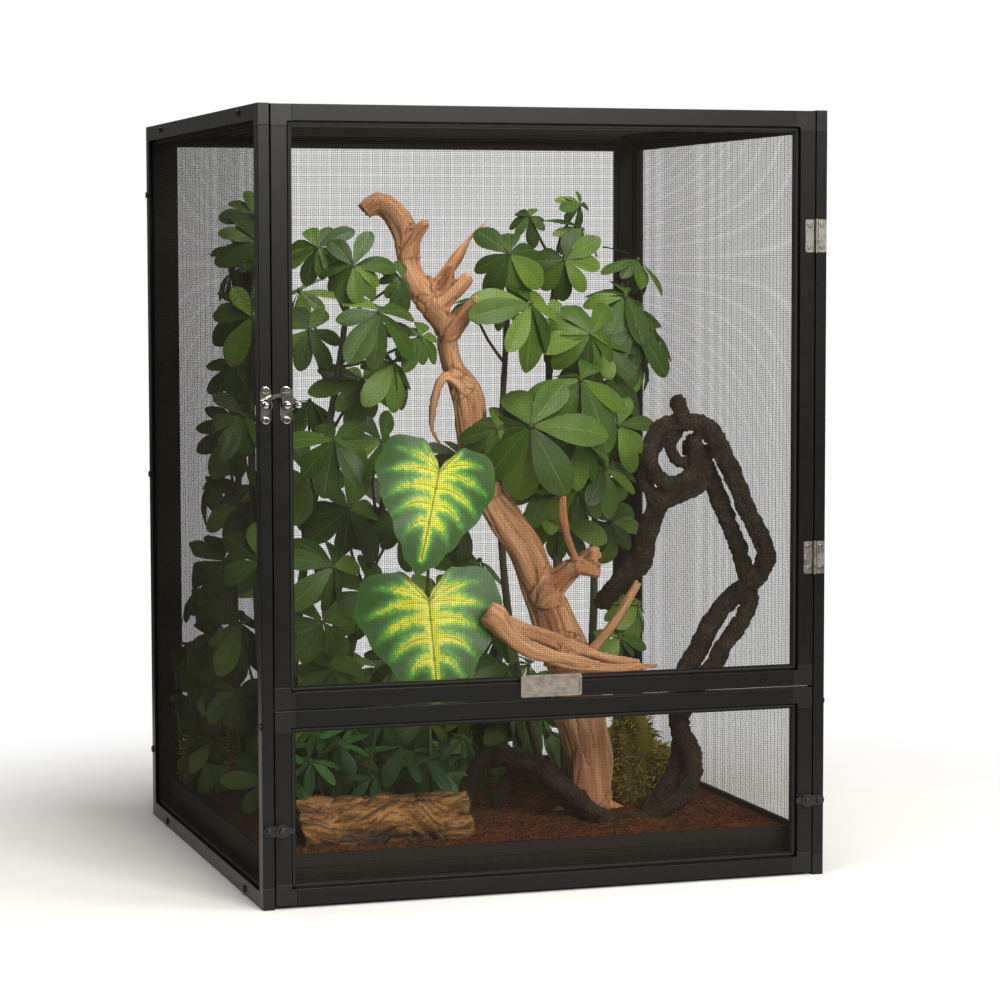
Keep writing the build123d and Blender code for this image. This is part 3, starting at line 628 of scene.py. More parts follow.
class TERRARIUM_OT_soil(bpy.types.Operator):
    """Heaps the soil in the tray and scatters crumbs on it"""
    bl_idname = "terrarium.soil"
    bl_label = "Lay Soil"

    def execute(self, context):
        settings = context.scene.terrarium_soil
        finish = soil_finish("coconut fibre soil", settings.colour)
        low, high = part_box("substrate")
        growth = Growth()
        across = int((high.x - low.x) / (2.4 * MM))
        deep = int((high.y - low.y) / (2.4 * MM))
        rows = []
        for j in range(deep + 1):
            y = low.y + (high.y - low.y) * j / deep
            row = []
            for i in range(across + 1):
                x = low.x + (high.x - low.x) * i / across
                row.append((Vector((x, y, soil_height(x, y, settings.heap))),
                            (0.0, 0.0, 0.0)))
            rows.append(row)
        skirt = [(Vector((p.x, low.y, low.z)), g) for p, g in rows[0]]
        back_skirt = [(Vector((p.x, high.y, low.z)), g) for p, g in rows[-1]]
        growth.add_grid([skirt, *rows, back_skirt])
        add_piece("soil_bed", growth.mesh("soil"), "enclosure", finish, ["substrate"])
        chance = random.Random(11)
        loose = Growth()
        for _ in range(settings.crumbs):
            x = chance.uniform(low.x + 3 * MM, high.x - 3 * MM)
            y = chance.uniform(low.y + 3 * MM, high.y - 3 * MM)
            size = chance.choice((0.7, 0.9, 1.2, 1.6, 2.4)) * MM
            middle = Vector((x, y, soil_height(x, y, settings.heap) + size * 0.2))
            long = Vector((chance.uniform(-1, 1), chance.uniform(-1, 1),
                           chance.uniform(-0.3, 0.3))).normalized()
            side = long.orthogonal().normalized()
            up = long.cross(side)
            stretch = chance.uniform(1.0, 2.6)
            rows = []
            for place, girth in ((-0.5, 0.3), (-0.15, 0.55), (0.25, 0.5), (0.5, 0.2)):
                rows.append([(middle + long * size * stretch * place
                              + (side * cos(a) + up * sin(a)) * size * girth
                              * chance.uniform(0.75, 1.2), (0.0, 0.0, 0.0))
                             for a in (0.3, 1.6, 2.8, 4.1, 5.3)])
            first, count = loose.add_grid(rows, closed=True)
            loose.add_cap(first, count, reverse=True)
            loose.add_cap(first + 3 * count, count)
        add_piece("soil_crumbs", loose.mesh("crumbs"), "enclosure", finish,
                  smooth=False)
        return {"FINISHED"}


# ---- Driftwood --------------------------------------------------------------------------
WOOD_LIMBS = {
    "trunk": [(302, 128, 24, 22), (302, 128, 48, 19.5), (299, 126, 96, 18.5),
              (289, 126, 137, 18), (276, 125, 179, 18), (251, 127, 244, 15),
              (231, 129, 277, 14), (215, 132, 303, 13), (206, 136, 345, 11.5),
              (203, 142, 375, 12), (193, 148, 402, 9), (188, 152, 432, 10),
              (176, 155, 452, 12), (161, 160, 480, 9.5), (158, 165, 507, 10),
              (149, 168, 525, 9), (136, 170, 531, 8.5), (125, 170, 523, 7.5)],
    "nub": [(160, 160, 490, 9), (166, 154, 508, 6), (172, 148, 514, 3.5)],
    "stub": [(189, 150, 424, 9), (198, 146, 438, 8), (207, 140, 449, 7.6),
             (213, 136, 454, 7.6)],
    "twig": [(172, 155, 452, 8), (182, 157, 464, 6), (192, 160, 476, 4.4),
             (211, 165, 499, 2.6), (228, 170, 516, 1.5)],
    "side twig": [(184, 154, 458, 7), (190, 148, 470, 5.4), (191, 144, 482, 3.6)],
    "cut twig": [(186, 152, 450, 8), (197, 146, 462, 6), (205, 142, 472, 4.8)],
    "spur": [(196, 139, 384, 5.4), (184, 138, 392, 4.2), (175, 136, 376, 2.6),
             (171, 134, 350, 2), (178, 132, 338, 2.6)],
    "arm": [(262, 122, 218, 10), (281, 108, 240, 8), (301, 98, 236, 6.4)],
    "finger": [(283, 106, 242, 4.6), (277, 104, 258, 3.6), (272, 106, 282, 3),
               (273, 108, 302, 2.3)],
    "burl": [(279, 124, 168, 18), (268, 88, 171, 13), (258, 62, 170, 9)],
    "low bough": [(191, 50, 213, 8), (198, 50, 208, 9.5), (207, 52, 198, 8),
                  (226, 54, 183, 6.5), (258, 56, 171, 6), (300, 57, 163, 3.8),
                  (336, 60, 164, 2.2)],
    "second bough": [(205, 58, 204, 6), (226, 70, 196, 6), (250, 78, 186, 6.5),
                     (276, 76, 176, 6), (300, 68, 168, 4), (322, 64, 166, 2.4)],
    "spike": [(286, 100, 166, 5), (298, 95, 180, 4.6), (310, 92, 194, 4.2),
              (321, 92, 212, 4), (331, 92, 228, 3.6)],
    "broken crown": [(214, 130, 306, 13), (203, 124, 314, 9), (197, 120, 320, 6.5)],
    "crown splinter": [(216, 130, 300, 12), (216, 122, 316, 7), (219, 118, 327, 3.5)],
    "root to the right": [(300, 128, 40, 16), (322, 122, 34, 9), (336, 116, 27, 5)],
    "root to the left": [(300, 128, 42, 16), (280, 122, 36, 9), (266, 114, 27, 5)],
    "knuckle": [(262, 122, 218, 10), (292, 110, 244, 6), (298, 100, 250, 4.6)],
}


class TerrariumWood(bpy.types.PropertyGroup):
    pale: bpy.props.FloatVectorProperty(
        name="Pale Wood", description="Colour of the driftwood's raised grain",
        subtype="COLOR", default=(0.71, 0.39, 0.195), min=0, max=1)
    # The dark wood colour tints the dark grain; a darker tone of it is painted into the hollows as
    # shade.
    dark: bpy.props.FloatVectorProperty(
        name="Dark Wood", description="Colour of the driftwood's hollows", subtype="COLOR",
        default=(0.44, 0.19, 0.085), min=0, max=1)
    relief: bpy.props.FloatProperty(
        name="Grain Relief", description="Share of the modelled grooves' full depth",
        default=1.0, min=0, max=2, subtype="FACTOR")
    voxel: bpy.props.FloatProperty(
        name="Skin Detail", description="Size of the skin's faces", default=1.5 * MM,
        min=0.5 * MM, subtype="DISTANCE", unit="LENGTH")


class TERRARIUM_OT_driftwood(bpy.types.Operator):
    """Grows the driftwood with grooves that follow its branches"""
    bl_idname = "terrarium.driftwood"
    bl_label = "Grow Driftwood"

    def execute(self, context):
        settings = context.scene.terrarium_wood
        growth = Growth()
        spine = []
        offset = 0.0
        for limb in WOOD_LIMBS.values():
            route = [(at(x, y, z), r * MM) for x, y, z, r in limb]
            framed = with_frames(smoothed(route, 5 * MM))
            add_tube(growth, framed, 20, lambda angle, along: 1 + 0.1 * sin(
                2 * angle + along * 30) + 0.06 * sin(3 * angle - along * 55))
            spine += [(*sample[:5], sample[5] + offset) for sample in framed]
            offset += 0.7

        def height(local):
            swell = stretched_noise(local, 13, 38) * 2.4
            groove = -2.4 * (1 - abs(stretched_noise(local, 6.5, 70, 5))) ** 7
            fibre = stretched_noise(local, 2.2, 26, 9) * 0.7
            return settings.relief * (swell + groove + fibre + 0.5)

        mesh = roughened(fused(growth, settings.voxel), spine, height)
        finish = wood_finish("weathered driftwood", tuple(settings.pale), tuple(settings.dark))
        add_piece("driftwood_branch", mesh, "enclosure", finish, ["driftwood"])
        return {"FINISHED"}


# ---- Vine -------------------------------------------------------------------------------
VINE_ROUTES = {
    "outer strand": [(337, 82, 320, 6.5), (340, 78, 340, 7.5), (353, 72, 353, 8),
                     (366, 66, 357, 8.5), (379, 62, 351, 9), (387, 60, 338, 9),
                     (394, 60, 325, 9.5), (402, 60, 307, 8.5), (411, 60, 287, 8.5),
                     (421, 60, 268, 9), (428, 60, 252, 9), (427, 62, 239, 8.5),
                     (419, 66, 228, 8.5), (410, 72, 220, 8.5), (400, 76, 210, 9),
                     (389, 77, 195, 9), (377, 75, 175, 9), (365, 72, 159, 8.5),
                     (356, 70, 134, 8.5), (358, 68, 112, 8.5), (368, 70, 92, 9),
                     (370, 72, 72, 9), (362, 76, 54, 9), (345, 82, 44, 8.5),
                     (328, 88, 32, 8)],
    "inner strand": [(366, 84, 335, 6.5), (376, 80, 333, 7.5), (382, 78, 322, 7.5),
                     (389, 78, 308, 8), (397, 78, 288, 8), (406, 78, 267, 8),
                     (412, 78, 251, 8), (417, 76, 234, 8), (418, 70, 218, 8),
                     (413, 64, 203, 8), (402, 62, 189, 8), (391, 62, 174, 8),
                     (382, 62, 159, 8), (370, 66, 142, 8), (363, 76, 123, 8),
                     (364, 84, 99, 8), (362, 86, 79, 8), (352, 90, 58, 7.5),
                     (338, 96, 42, 6.5)],
    "front ring": [(367, 66, 346, 7), (371, 66, 332, 6.5), (367, 66, 318, 6.5),
                   (358, 68, 309, 6.5), (345, 68, 309, 7), (334, 68, 320, 7),
                   (331, 68, 334, 7), (336, 68, 347, 7), (347, 68, 356, 7),
                   (358, 66, 355, 7)],
    "cross strand": [(364, 78, 354, 6), (354, 76, 343, 5.5), (352, 74, 332, 5.5),
                     (359, 72, 324, 5.5), (371, 74, 326, 5.5), (382, 76, 335, 6)],
    "rear ring": [(381, 74, 337, 6), (381, 70, 321, 6), (374, 66, 306, 6),
                  (361, 68, 298, 6), (347, 72, 294, 6.5), (337, 78, 299, 6.5),
                  (333, 82, 312, 6.5), (339, 86, 326, 6)],
    "branch to the wood": [(350, 72, 304, 8), (343, 76, 294, 9), (340, 80, 284, 9.5),
                           (337, 84, 271, 9), (336, 90, 257, 9.5), (334, 96, 243, 10.5),
                           (325, 106, 230, 10), (317, 114, 219, 9.5), (310, 124, 206, 8.5)],
    "stub": [(362, 66, 352, 7.5), (356, 63, 363, 7.5), (353, 60, 372, 7.5),
             (354, 58, 377, 5.5)],
    "low arch": [(200, 152, 34, 7.5), (209, 150, 66, 8.5), (221, 142, 82, 9),
                 (237, 122, 85, 9), (256, 106, 76, 8.5), (277, 92, 57, 8.5),
                 (299, 80, 38, 8.5), (322, 78, 36, 8), (345, 82, 44, 7.5)],
    "second arch": [(228, 152, 30, 6.5), (234, 150, 54, 7.5), (247, 140, 69, 8),
                    (261, 122, 64, 8), (275, 108, 51, 8), (290, 95, 34, 8)],
}


class TerrariumVine(bpy.types.PropertyGroup):
    colour: bpy.props.FloatVectorProperty(
        name="Vine Colour", description="Middle colour of the vine's crumb coating",
        subtype="COLOR", default=(0.026, 0.0185, 0.0115), min=0, max=1)
    girth: bpy.props.FloatProperty(
        name="Girth", description="Share of the vine's full thickness", default=0.86, min=0.3,
        max=1.5, subtype="FACTOR")
    lumps: bpy.props.FloatProperty(
        name="Lump Height", description="Height of the lumps in the vine's coating",
        default=1.1 * MM, min=0, subtype="DISTANCE", unit="LENGTH")


class TERRARIUM_OT_vine(bpy.types.Operator):
    """Winds the bendable vine from the soil up to its loops"""
    bl_idname = "terrarium.vine"
    bl_label = "Wind Vine"

    def execute(self, context):
        settings = context.scene.terrarium_vine
        growth = Growth()
        spine = []
        offset = 0.0
        for route in VINE_ROUTES.values():
            line = [(at(x, y, z), r * settings.girth * MM) for x, y, z, r in route]
            framed = with_frames(smoothed(line, 5 * MM))
            add_tube(growth, framed, 16)
            spine += [(*sample[:5], sample[5] + offset) for sample in framed]
            offset += 0.9

        def height(local):
            ridge = stretched_noise(local, 4.5, 14) * 1.3
            lump = stretched_noise(local, 4, 6, 3) * 1.5 + stretched_noise(local, 1.8, 2.2, 7) * 1.0
            return (ridge + lump) * settings.lumps / MM

        mesh = roughened(fused(growth, 1.4 * MM), spine, height)
        finish = vine_finish("crumb coated vine", tuple(settings.colour))
        add_piece("bendable_vine", mesh, "enclosure", finish, ["vine"])
        return {"FINISHED"}


# ---- Bark shelter -----------------------------------------------------------------------
class TerrariumBark(bpy.types.PropertyGroup):
    pale: bpy.props.FloatVectorProperty(
        name="Pale Bark", description="Colour of the bark's ridges", subtype="COLOR",
        default=(0.46, 0.235, 0.065), min=0, max=1)
    # The dark bark colour tints the dark grain; a darker tone of it is painted into the cracks and
    # hollows as shade.
    dark: bpy.props.FloatVectorProperty(
        name="Dark Bark", description="Colour of the bark's cracks", subtype="COLOR",
        default=(0.035, 0.015, 0.006), min=0, max=1)


class TERRARIUM_OT_bark(bpy.types.Operator):
    """Shapes the half round of bark that lies on the soil"""
    bl_idname = "terrarium.bark"
    bl_label = "Shape Bark"

    def execute(self, context):
        settings = context.scene.terrarium_bark
        low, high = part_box("bark_cave")
        radius = (high.y - low.y) / 2
        middle_y = (low.y + high.y) / 2
        growth = Growth()
        long, round_steps = 150, 84

        def skin(i, j, wall):
            x = i / long
            angle = pi * j / round_steps
            end = 3.5 * MM * noise.noise(Vector((angle * 2, 4.0 if x > 0.5 else 0.0, 0.0)))
            place = low.x + 4 * MM + (high.x - low.x - 8 * MM) * x
            place += end * (1 - 2 * min(x, 1 - x))
            bend = 1.5 * noise.noise(Vector((x * 2.6, 3.0, 0.0))) + 0.9 * x
            ridge = noise.noise(Vector((x * 3.0, (angle + bend) * 3.6, 1.0)))
            crack = (1 - abs(noise.noise(Vector((x * 5.0, (angle + bend) * 5.0, 7.0))))) ** 6
            crumble = noise.noise(Vector((x * 30.0, angle * 22.0, 2.0)))
            depth = (4.4 * ridge - 4.6 * crack + 1.1 * crumble) * MM * (1.0 if wall else -0.2)
            reach = radius - 2.0 * MM - (0 if wall else 6.4 * MM) + depth
            knot = 2.0 * MM * exp(-((x - 0.55) * 9) ** 2 - ((angle - 1.9) * 3) ** 2)
            reach += knot if wall else 0.0
            point = Vector((place, middle_y - reach * cos(angle), low.z + reach * sin(angle)
                            - 0.8 * MM * (1 - sin(angle))))
            return point, (angle * radius / MM, reach / MM, place / MM)

        rows = []
        for i in range(long + 1):
            outside = [skin(i, j, True) for j in range(round_steps + 1)]
            inside = [skin(i, j, False) for j in range(round_steps, -1, -1)]
            rows.append(outside + inside)
        first, across = growth.add_grid(rows, closed=True)
        half = round_steps + 1
        for base in (first, first + long * across):
            for j in range(round_steps):
                face = (base + j, base + j + 1, base + across - 2 - j, base + across - 1 - j)
                growth.faces.append(face if base > first else tuple(reversed(face)))
        finish = wood_finish("rough bark", tuple(settings.pale), tuple(settings.dark), 0.45)
        add_piece("bark_shelter", growth.mesh("bark"), "enclosure", finish,
                  ["bark_cave"])
        return {"FINISHED"}


# ---- Leaves -----------------------------------------------------------------------------
def kept_inside(point):
    """A point brought back inside the cabin, clear of its screens."""
    clear = 13 * MM
    return Vector((min(max(point.x, LEFT + clear), RIGHT - clear),
                   min(max(point.y, FRONT + 16 * MM), BACK - clear),
                   min(point.z, SIDE_HIGH.z - 14 * MM)))


def add_blade(growth, base, pointing, facing, length, width, droop, fold, tint, wave=0.0,
              fullness=1.4):
    """One leaf blade: pointing is its direction, facing the side that shows."""
    pointing = pointing.normalized()
    across = pointing.cross(facing).normalized()
    facing = across.cross(pointing).normalized()
    rows = []
    for i in range(12):
        t = sin(pi / 2 * i / 11)
        half = width / 2 * (sin(pi * t ** fullness) ** 0.56 if 0 < t < 1 else 0.0)
        half = max(half, (0.07 if t < 0.5 else 0.004) * width)
        bend = droop * t * t
        centre = base + pointing * length * (t - 0.18 * bend) - facing * length * 0.6 * bend
        row = []
        for s in (-1.0, -0.6, -0.22, 0.0, 0.22, 0.6, 1.0):
            lift = fold * abs(s) * half - 0.12 * half * s * s
            lift += wave * length * sin(7 * t + 2 * s + tint * 9) * abs(s)
            row.append((kept_inside(centre + across * s * half + facing * lift),
                        (s, t, tint)))
        rows.append(row)
    growth.add_grid(rows)


def add_stalk(growth, route, sides=6):
    line = [(kept_inside(point), radius) for point, radius in route]
    add_tube(growth, with_frames(smoothed(line, 12 * MM)), sides)


def add_whorl(leaves, stalks, place, facing, reach, chance, count=8, slim=0.42, sag=0.35):
    """Leaflets that spread from one point like the ribs of an umbrella."""
    facing = facing.normalized()
    start = facing.orthogonal().normalized()
    side = facing.cross(start)
    turn = chance.uniform(0, 2 * pi)
    down = Vector((0, 0, -1))
    for index in range(count):
        angle = turn + 2 * pi * (index + chance.uniform(-0.2, 0.2)) / count
        out = start * cos(angle) + side * sin(angle)
        dip = chance.uniform(0.0, 0.6) * (1 + 0.5 * max(0.0, out.dot(down)))
        pointing = (out - facing * dip + down * sag * chance.uniform(0.2, 0.9)).normalized()
        size = reach * chance.uniform(0.72, 1.16)
        foot = place + pointing * size * 0.05 + facing * chance.uniform(-1.5, 1.5) * MM
        add_blade(leaves, foot, pointing, facing + down * -0.15, size * 0.98,
                  size * slim * chance.uniform(0.88, 1.15), chance.uniform(0.1, 0.5),
                  chance.uniform(0.05, 0.28), chance.random(), 0.01)
        stalks.append([(place, 0.75 * MM), (foot, 0.6 * MM)])
    stalks.append([(place - facing * 3 * MM, 1.1 * MM), (place, 2.3 * MM),
                   (place + facing * 2.2 * MM, 1.2 * MM)])


def leaf_facing(place, stem, chance, forward=0.75):
    """Outward from its stem, up, and towards the front where the light comes from."""
    away = place - stem
    away.z = 0
    lean = away.normalized() * 0.45 if away.length > 5 * MM else Vector()
    return (lean + Vector((chance.uniform(-0.45, 0.45), -forward + chance.uniform(-0.3, 0.3),
                           0.62 + chance.uniform(-0.4, 0.3))))


LEFT_WHORLS = [
    (115, 85, 445, 44), (100, 105, 480, 36), (85, 110, 345, 46), (85, 115, 245, 46),
    (80, 140, 495, 34), (135, 115, 405, 38), (75, 150, 430, 38), (120, 155, 390, 42),
    (155, 110, 425, 31), (140, 110, 470, 24), (85, 190, 310, 46), (140, 170, 340, 46),
    (115, 180, 285, 48), (165, 200, 275, 48), (220, 210, 270, 42), (90, 170, 195, 48),
    (135, 190, 215, 50), (195, 200, 205, 50), (250, 220, 170, 42), (100, 180, 155, 42),
    (170, 220, 155, 46), (240, 230, 235, 40), (215, 200, 325, 35), (80, 200, 460, 38),
    (95, 230, 370, 40), (60, 300, 495, 38), (60, 290, 445, 38), (55, 280, 395, 40),
    (45, 290, 345, 42), (45, 270, 285, 42), (35, 290, 235, 44), (45, 270, 185, 44),
    (35, 320, 165, 42), (45, 290, 125, 42), (30, 350, 205, 42), (35, 350, 300, 38),
    (25, 380, 105, 42), (35, 340, 75, 40), (40, 200, 440, 38), (40, 170, 245, 40),
    (35, 210, 360, 38), (62, 285, 522, 40), (48, 310, 476, 42), (58, 252, 500, 36),
    (70, 262, 440, 36), (40, 262, 400, 38), (245, 340, 120, 46), (262, 318, 84, 44),
    (236, 300, 100, 44), (282, 352, 96, 42), (26, 386, 150, 40), (30, 388, 200, 40),
    (272, 330, 100, 44), (284, 300, 66, 42),
]
RIGHT_WHORLS = [
    (235, 75, 355, 74), (285, 100, 390, 58), (250, 120, 450, 48), (235, 130, 490, 44),
    (320, 200, 510, 31), (320, 205, 530, 23), (355, 190, 455, 46), (320, 140, 315, 44),
    (295, 170, 485, 36), (375, 215, 485, 36), (325, 170, 415, 42), (290, 160, 430, 38),
    (280, 170, 305, 42), (315, 170, 355, 42), (370, 200, 195, 34), (350, 190, 170, 30),
    (305, 210, 270, 40), (250, 190, 450, 34), (350, 210, 265, 40), (395, 230, 425, 33),
    (275, 200, 520, 22), (220, 190, 450, 28), (270, 145, 350, 44), (345, 215, 330, 38),
    (330, 165, 385, 46), (300, 150, 300, 46), (335, 150, 350, 40), (290, 120, 345, 48),
    (214, 96, 352, 44), (360, 180, 430, 46), (372, 195, 405, 38), (300, 120, 425, 44),
    (330, 335, 72, 40), (338, 372, 104, 36), (316, 300, 92, 36), (322, 350, 128, 38),
]


class TerrariumFoliage(bpy.types.PropertyGroup):
    leaf: bpy.props.FloatVectorProperty(
        name="Leaf Colour", description="Middle green of the two bushes", subtype="COLOR",
        default=(0.056, 0.13, 0.014), min=0, max=1)
    young: bpy.props.FloatVectorProperty(
        name="Young Leaf Colour", description="Palest green of the two bushes",
        subtype="COLOR", default=(0.175, 0.295, 0.036), min=0, max=1)
    stalk: bpy.props.FloatVectorProperty(
        name="Stalk Colour", description="Colour of stalks and stems", subtype="COLOR",
        default=(0.07, 0.075, 0.03), min=0, max=1)
    leaf_width: bpy.props.FloatProperty(
        name="Leaf Width", description="Width of a leaf as a share of its length",
        default=0.43, min=0.1, max=1, subtype="FACTOR")
    undergrowth: bpy.props.IntProperty(
        name="Undergrowth", description="Number of shaded whorls low in the left bush",
        default=64, min=0)


def undergrowth(number):
    """Whorls strewn low down, from behind the bark to the back of the cabin."""
    chance = random.Random(3)
    whorls = []
    for _ in range(number):
        back = chance.uniform(200, 385)
        reach = chance.uniform(34, 46)
        whorls.append((chance.uniform(22, 330 - 0.2 * back), back,
                       chance.uniform(55, 170 - 0.1 * back), reach))
    return whorls


def grow_bush(name, node, whorls, stems, settings, seed):
    """Leaves and stalks of one bush; stems are routes that the stalks start from."""
    chance = random.Random(seed)
    leaves = Growth()
    wood = Growth()
    joints = []
    for stem in stems:
        line = [(at(x, y, z), r * MM) for x, y, z, r in stem]
        framed = with_frames(smoothed(line, 8 * MM))
        add_tube(wood, framed, 8)
        joints += [sample[0] for sample in framed]
    for x, y, z, reach in whorls:
        place = at(x, y, z)
        wanted = place - Vector((0, 0, reach * 1.6 * MM))
        joint = min(joints, key=lambda p: (p - wanted).length + (
            10.0 if p.z > place.z - 8 * MM else 0.0))
        facing = leaf_facing(place, joint, chance)
        stalks = []
        add_whorl(leaves, stalks, place, facing, reach * MM, chance,
                  chance.choice((7, 8, 8, 9)), settings.leaf_width)
        bow = (joint + place) / 2 - facing.normalized() * 0.16 * (place - joint).length
        add_stalk(wood, [(joint, 1.5 * MM), (bow, 1.2 * MM), (place, 1.0 * MM)], 6)
        for route in stalks:
            add_stalk(wood, route, 5)
    finish = leaf_finish(name + " leaf", tuple(settings.leaf), tuple(settings.young))
    stalk = stalk_finish(name + " stalk", tuple(settings.stalk))
    add_piece(name + "_leaves", leaves.mesh(name), "enclosure", finish, [node])
    add_piece(name + "_stalks", wood.mesh(name), "enclosure", stalk)


class TERRARIUM_OT_bushes(bpy.types.Operator):
    """Grows the two bushes of whorled leaves"""
    bl_idname = "terrarium.bushes"
    bl_label = "Grow Bushes"

    def execute(self, context):
        settings = context.scene.terrarium_foliage
        shaded = undergrowth(settings.undergrowth)
        grow_bush("left_bush", "left_bush", LEFT_WHORLS + shaded, [
            [(84, 250, 28, 4.5), (82, 240, 140, 4), (88, 205, 270, 3.6), (100, 165, 380, 3),
             (104, 140, 452, 2.2)],
            [(70, 262, 28, 4), (58, 255, 160, 3.6), (50, 245, 300, 3), (52, 252, 420, 2.6),
             (56, 256, 490, 2)],
            [(100, 250, 28, 4), (126, 232, 150, 3.5), (146, 210, 260, 3), (160, 204, 340, 2.2)],
            [(60, 320, 28, 4), (50, 318, 160, 3.4), (52, 300, 330, 2.8), (56, 290, 450, 2)],
            [(200, 290, 28, 4), (205, 270, 90, 3.4), (210, 240, 170, 2.6),
             (215, 225, 250, 2)],
        ], settings, 5)
        grow_bush("right_bush", "right_bush", RIGHT_WHORLS, [
            [(318, 235, 28, 4.5), (314, 232, 150, 4), (300, 215, 290, 3.6), (290, 195, 400, 3),
             (300, 205, 486, 2.2)],
            [(330, 240, 28, 4), (342, 236, 160, 3.6), (338, 215, 290, 3), (346, 200, 400, 2.6),
             (360, 212, 466, 2)],
            [(306, 240, 28, 4), (270, 226, 150, 3.5), (250, 205, 280, 3), (244, 175, 380, 2.6),
             (244, 160, 450, 2)],
        ], settings, 8)
        return {"FINISHED"}


class TerrariumGroundPlant(bpy.types.PropertyGroup):
    leaf: bpy.props.FloatVectorProperty(
        name="Leaf Colour", description="Middle green of the low plant", subtype="COLOR",
        default=(0.022, 0.095, 0.015), min=0, max=1)
    young: bpy.props.FloatVectorProperty(
        name="Young Leaf Colour", description="Palest green of the low plant",
        subtype="COLOR", default=(0.085, 0.28, 0.05), min=0, max=1)


class TERRARIUM_OT_ground_plant(bpy.types.Operator):
    """Grows the low plant behind the bark"""
    bl_idname = "terrarium.ground_plant"
    bl_label = "Grow Low Plant"

    def execute(self, context):
        settings = context.scene.terrarium_ground_plant
        chance = random.Random(21)
        leaves = Growth()
        wood = Growth()
        for x, y, z, reach in ((96, 142, 100, 30), (147, 146, 94, 34), (198, 140, 101, 26),
                               (166, 136, 84, 30), (72, 140, 88, 30), (122, 138, 72, 28),
                               (110, 158, 112, 30), (50, 150, 96, 26), (60, 160, 72, 26),
                               (180, 152, 90, 26), (140, 170, 110, 28), (86, 170, 112, 28),
                               (186, 150, 70, 24)):
            place = at(x, y, z)
            stalks = []
            facing = Vector((chance.uniform(-0.4, 0.4), -0.55 + chance.uniform(-0.2, 0.3), 0.85))
            add_whorl(leaves, stalks, place, facing, reach * MM, chance, 7, 0.3, sag=0.1)
            foot = at(x * 0.6 + 50, 168, 28)
            bow = (foot + place) / 2 + Vector((0, 0, 10 * MM))
            add_stalk(wood, [(foot, 1.3 * MM), (bow, 1.1 * MM), (place, 0.9 * MM)], 6)
            for route in stalks:
                add_stalk(wood, route, 5)
        finish = leaf_finish("low plant leaf", tuple(settings.leaf), tuple(settings.young), 0.42)
        stalk = stalk_finish("low plant stalk", (0.07, 0.11, 0.03))
        add_piece("low_plant_leaves", leaves.mesh("low plant"), "enclosure", finish,
                  ["ground_plant"])
        add_piece("low_plant_stalks", wood.mesh("low plant stalks"), "enclosure", stalk)
        return {"FINISHED"}


# ---- Heart leaves -----------------------------------------------------------------------
class TerrariumHeartLeaves(bpy.types.PropertyGroup):
    blade: bpy.props.FloatVectorProperty(
        name="Blade Colour", description="Green between the veins", subtype="COLOR",
        default=(0.04, 0.165, 0.012), min=0, max=1)
    band: bpy.props.FloatVectorProperty(
        name="Band Colour", description="Yellow along the veins", subtype="COLOR",
        default=(0.74, 0.76, 0.035), min=0, max=1)
    cupping: bpy.props.FloatProperty(
        name="Cupping", description="How far the leaf's sides bend back", default=7 * MM,
        min=0, subtype="DISTANCE", unit="LENGTH")


def heart_edge(angle):
    """Distance of a heart's margin from its middle, by angle from straight up, for width 1."""
    turn = abs((angle + pi) % (2 * pi) - pi)
    stops = ((0.0, 0.24), (0.14, 0.34), (0.4, 0.53), (0.82, 0.645), (1.2, 0.59),
             (1.7, 0.475), (2.25, 0.44), (2.7, 0.53), (2.98, 0.66), (pi, 0.74))
    for (a, ra), (b, rb) in zip(stops, stops[1:]):
        if turn <= b:
            t = (turn - a) / (b - a)
            return ra + (rb - ra) * t * t * (3 - 2 * t)
    return stops[-1][1]


def vein_lines():
    """Side veins of a heart leaf of width 1, whose veins meet at (0, 0.22)."""
    lines = []
    for start, bend, end in (
            ((0.0, 0.22), (0.1, 0.34), (0.2, 0.5)), ((0.0, 0.22), (0.18, 0.36), (0.4, 0.36)),
            ((0.0, 0.2), (0.24, 0.25), (0.47, 0.12)), ((0.0, 0.06), (0.22, 0.12), (0.42, -0.1)),
            ((0.0, -0.1), (0.18, -0.04), (0.33, -0.27)),
            ((0.0, -0.26), (0.12, -0.22), (0.2, -0.42))):
        curve = []
        for i in range(13):
            t = i / 12
            curve.append(tuple(start[k] * (1 - t) ** 2 + 2 * bend[k] * t * (1 - t)
                               + end[k] * t * t for k in (0, 1)))
        lines.append(curve)
    return lines


def off_line(x, y, line):
    """Distance from a line of points, and how far along it that is."""
    best, where = 9.0, 0.0
    for i, ((ax, ay), (bx, by)) in enumerate(zip(line, line[1:])):
        dx, dy = bx - ax, by - ay
        t = min(1.0, max(0.0, ((x - ax) * dx + (y - ay) * dy) / (dx * dx + dy * dy)))
        gap = sqrt((x - ax - dx * t) ** 2 + (y - ay - dy * t) ** 2)
        if gap < best:
            best, where = gap, (i + t) / (len(line) - 1)
    return best, where


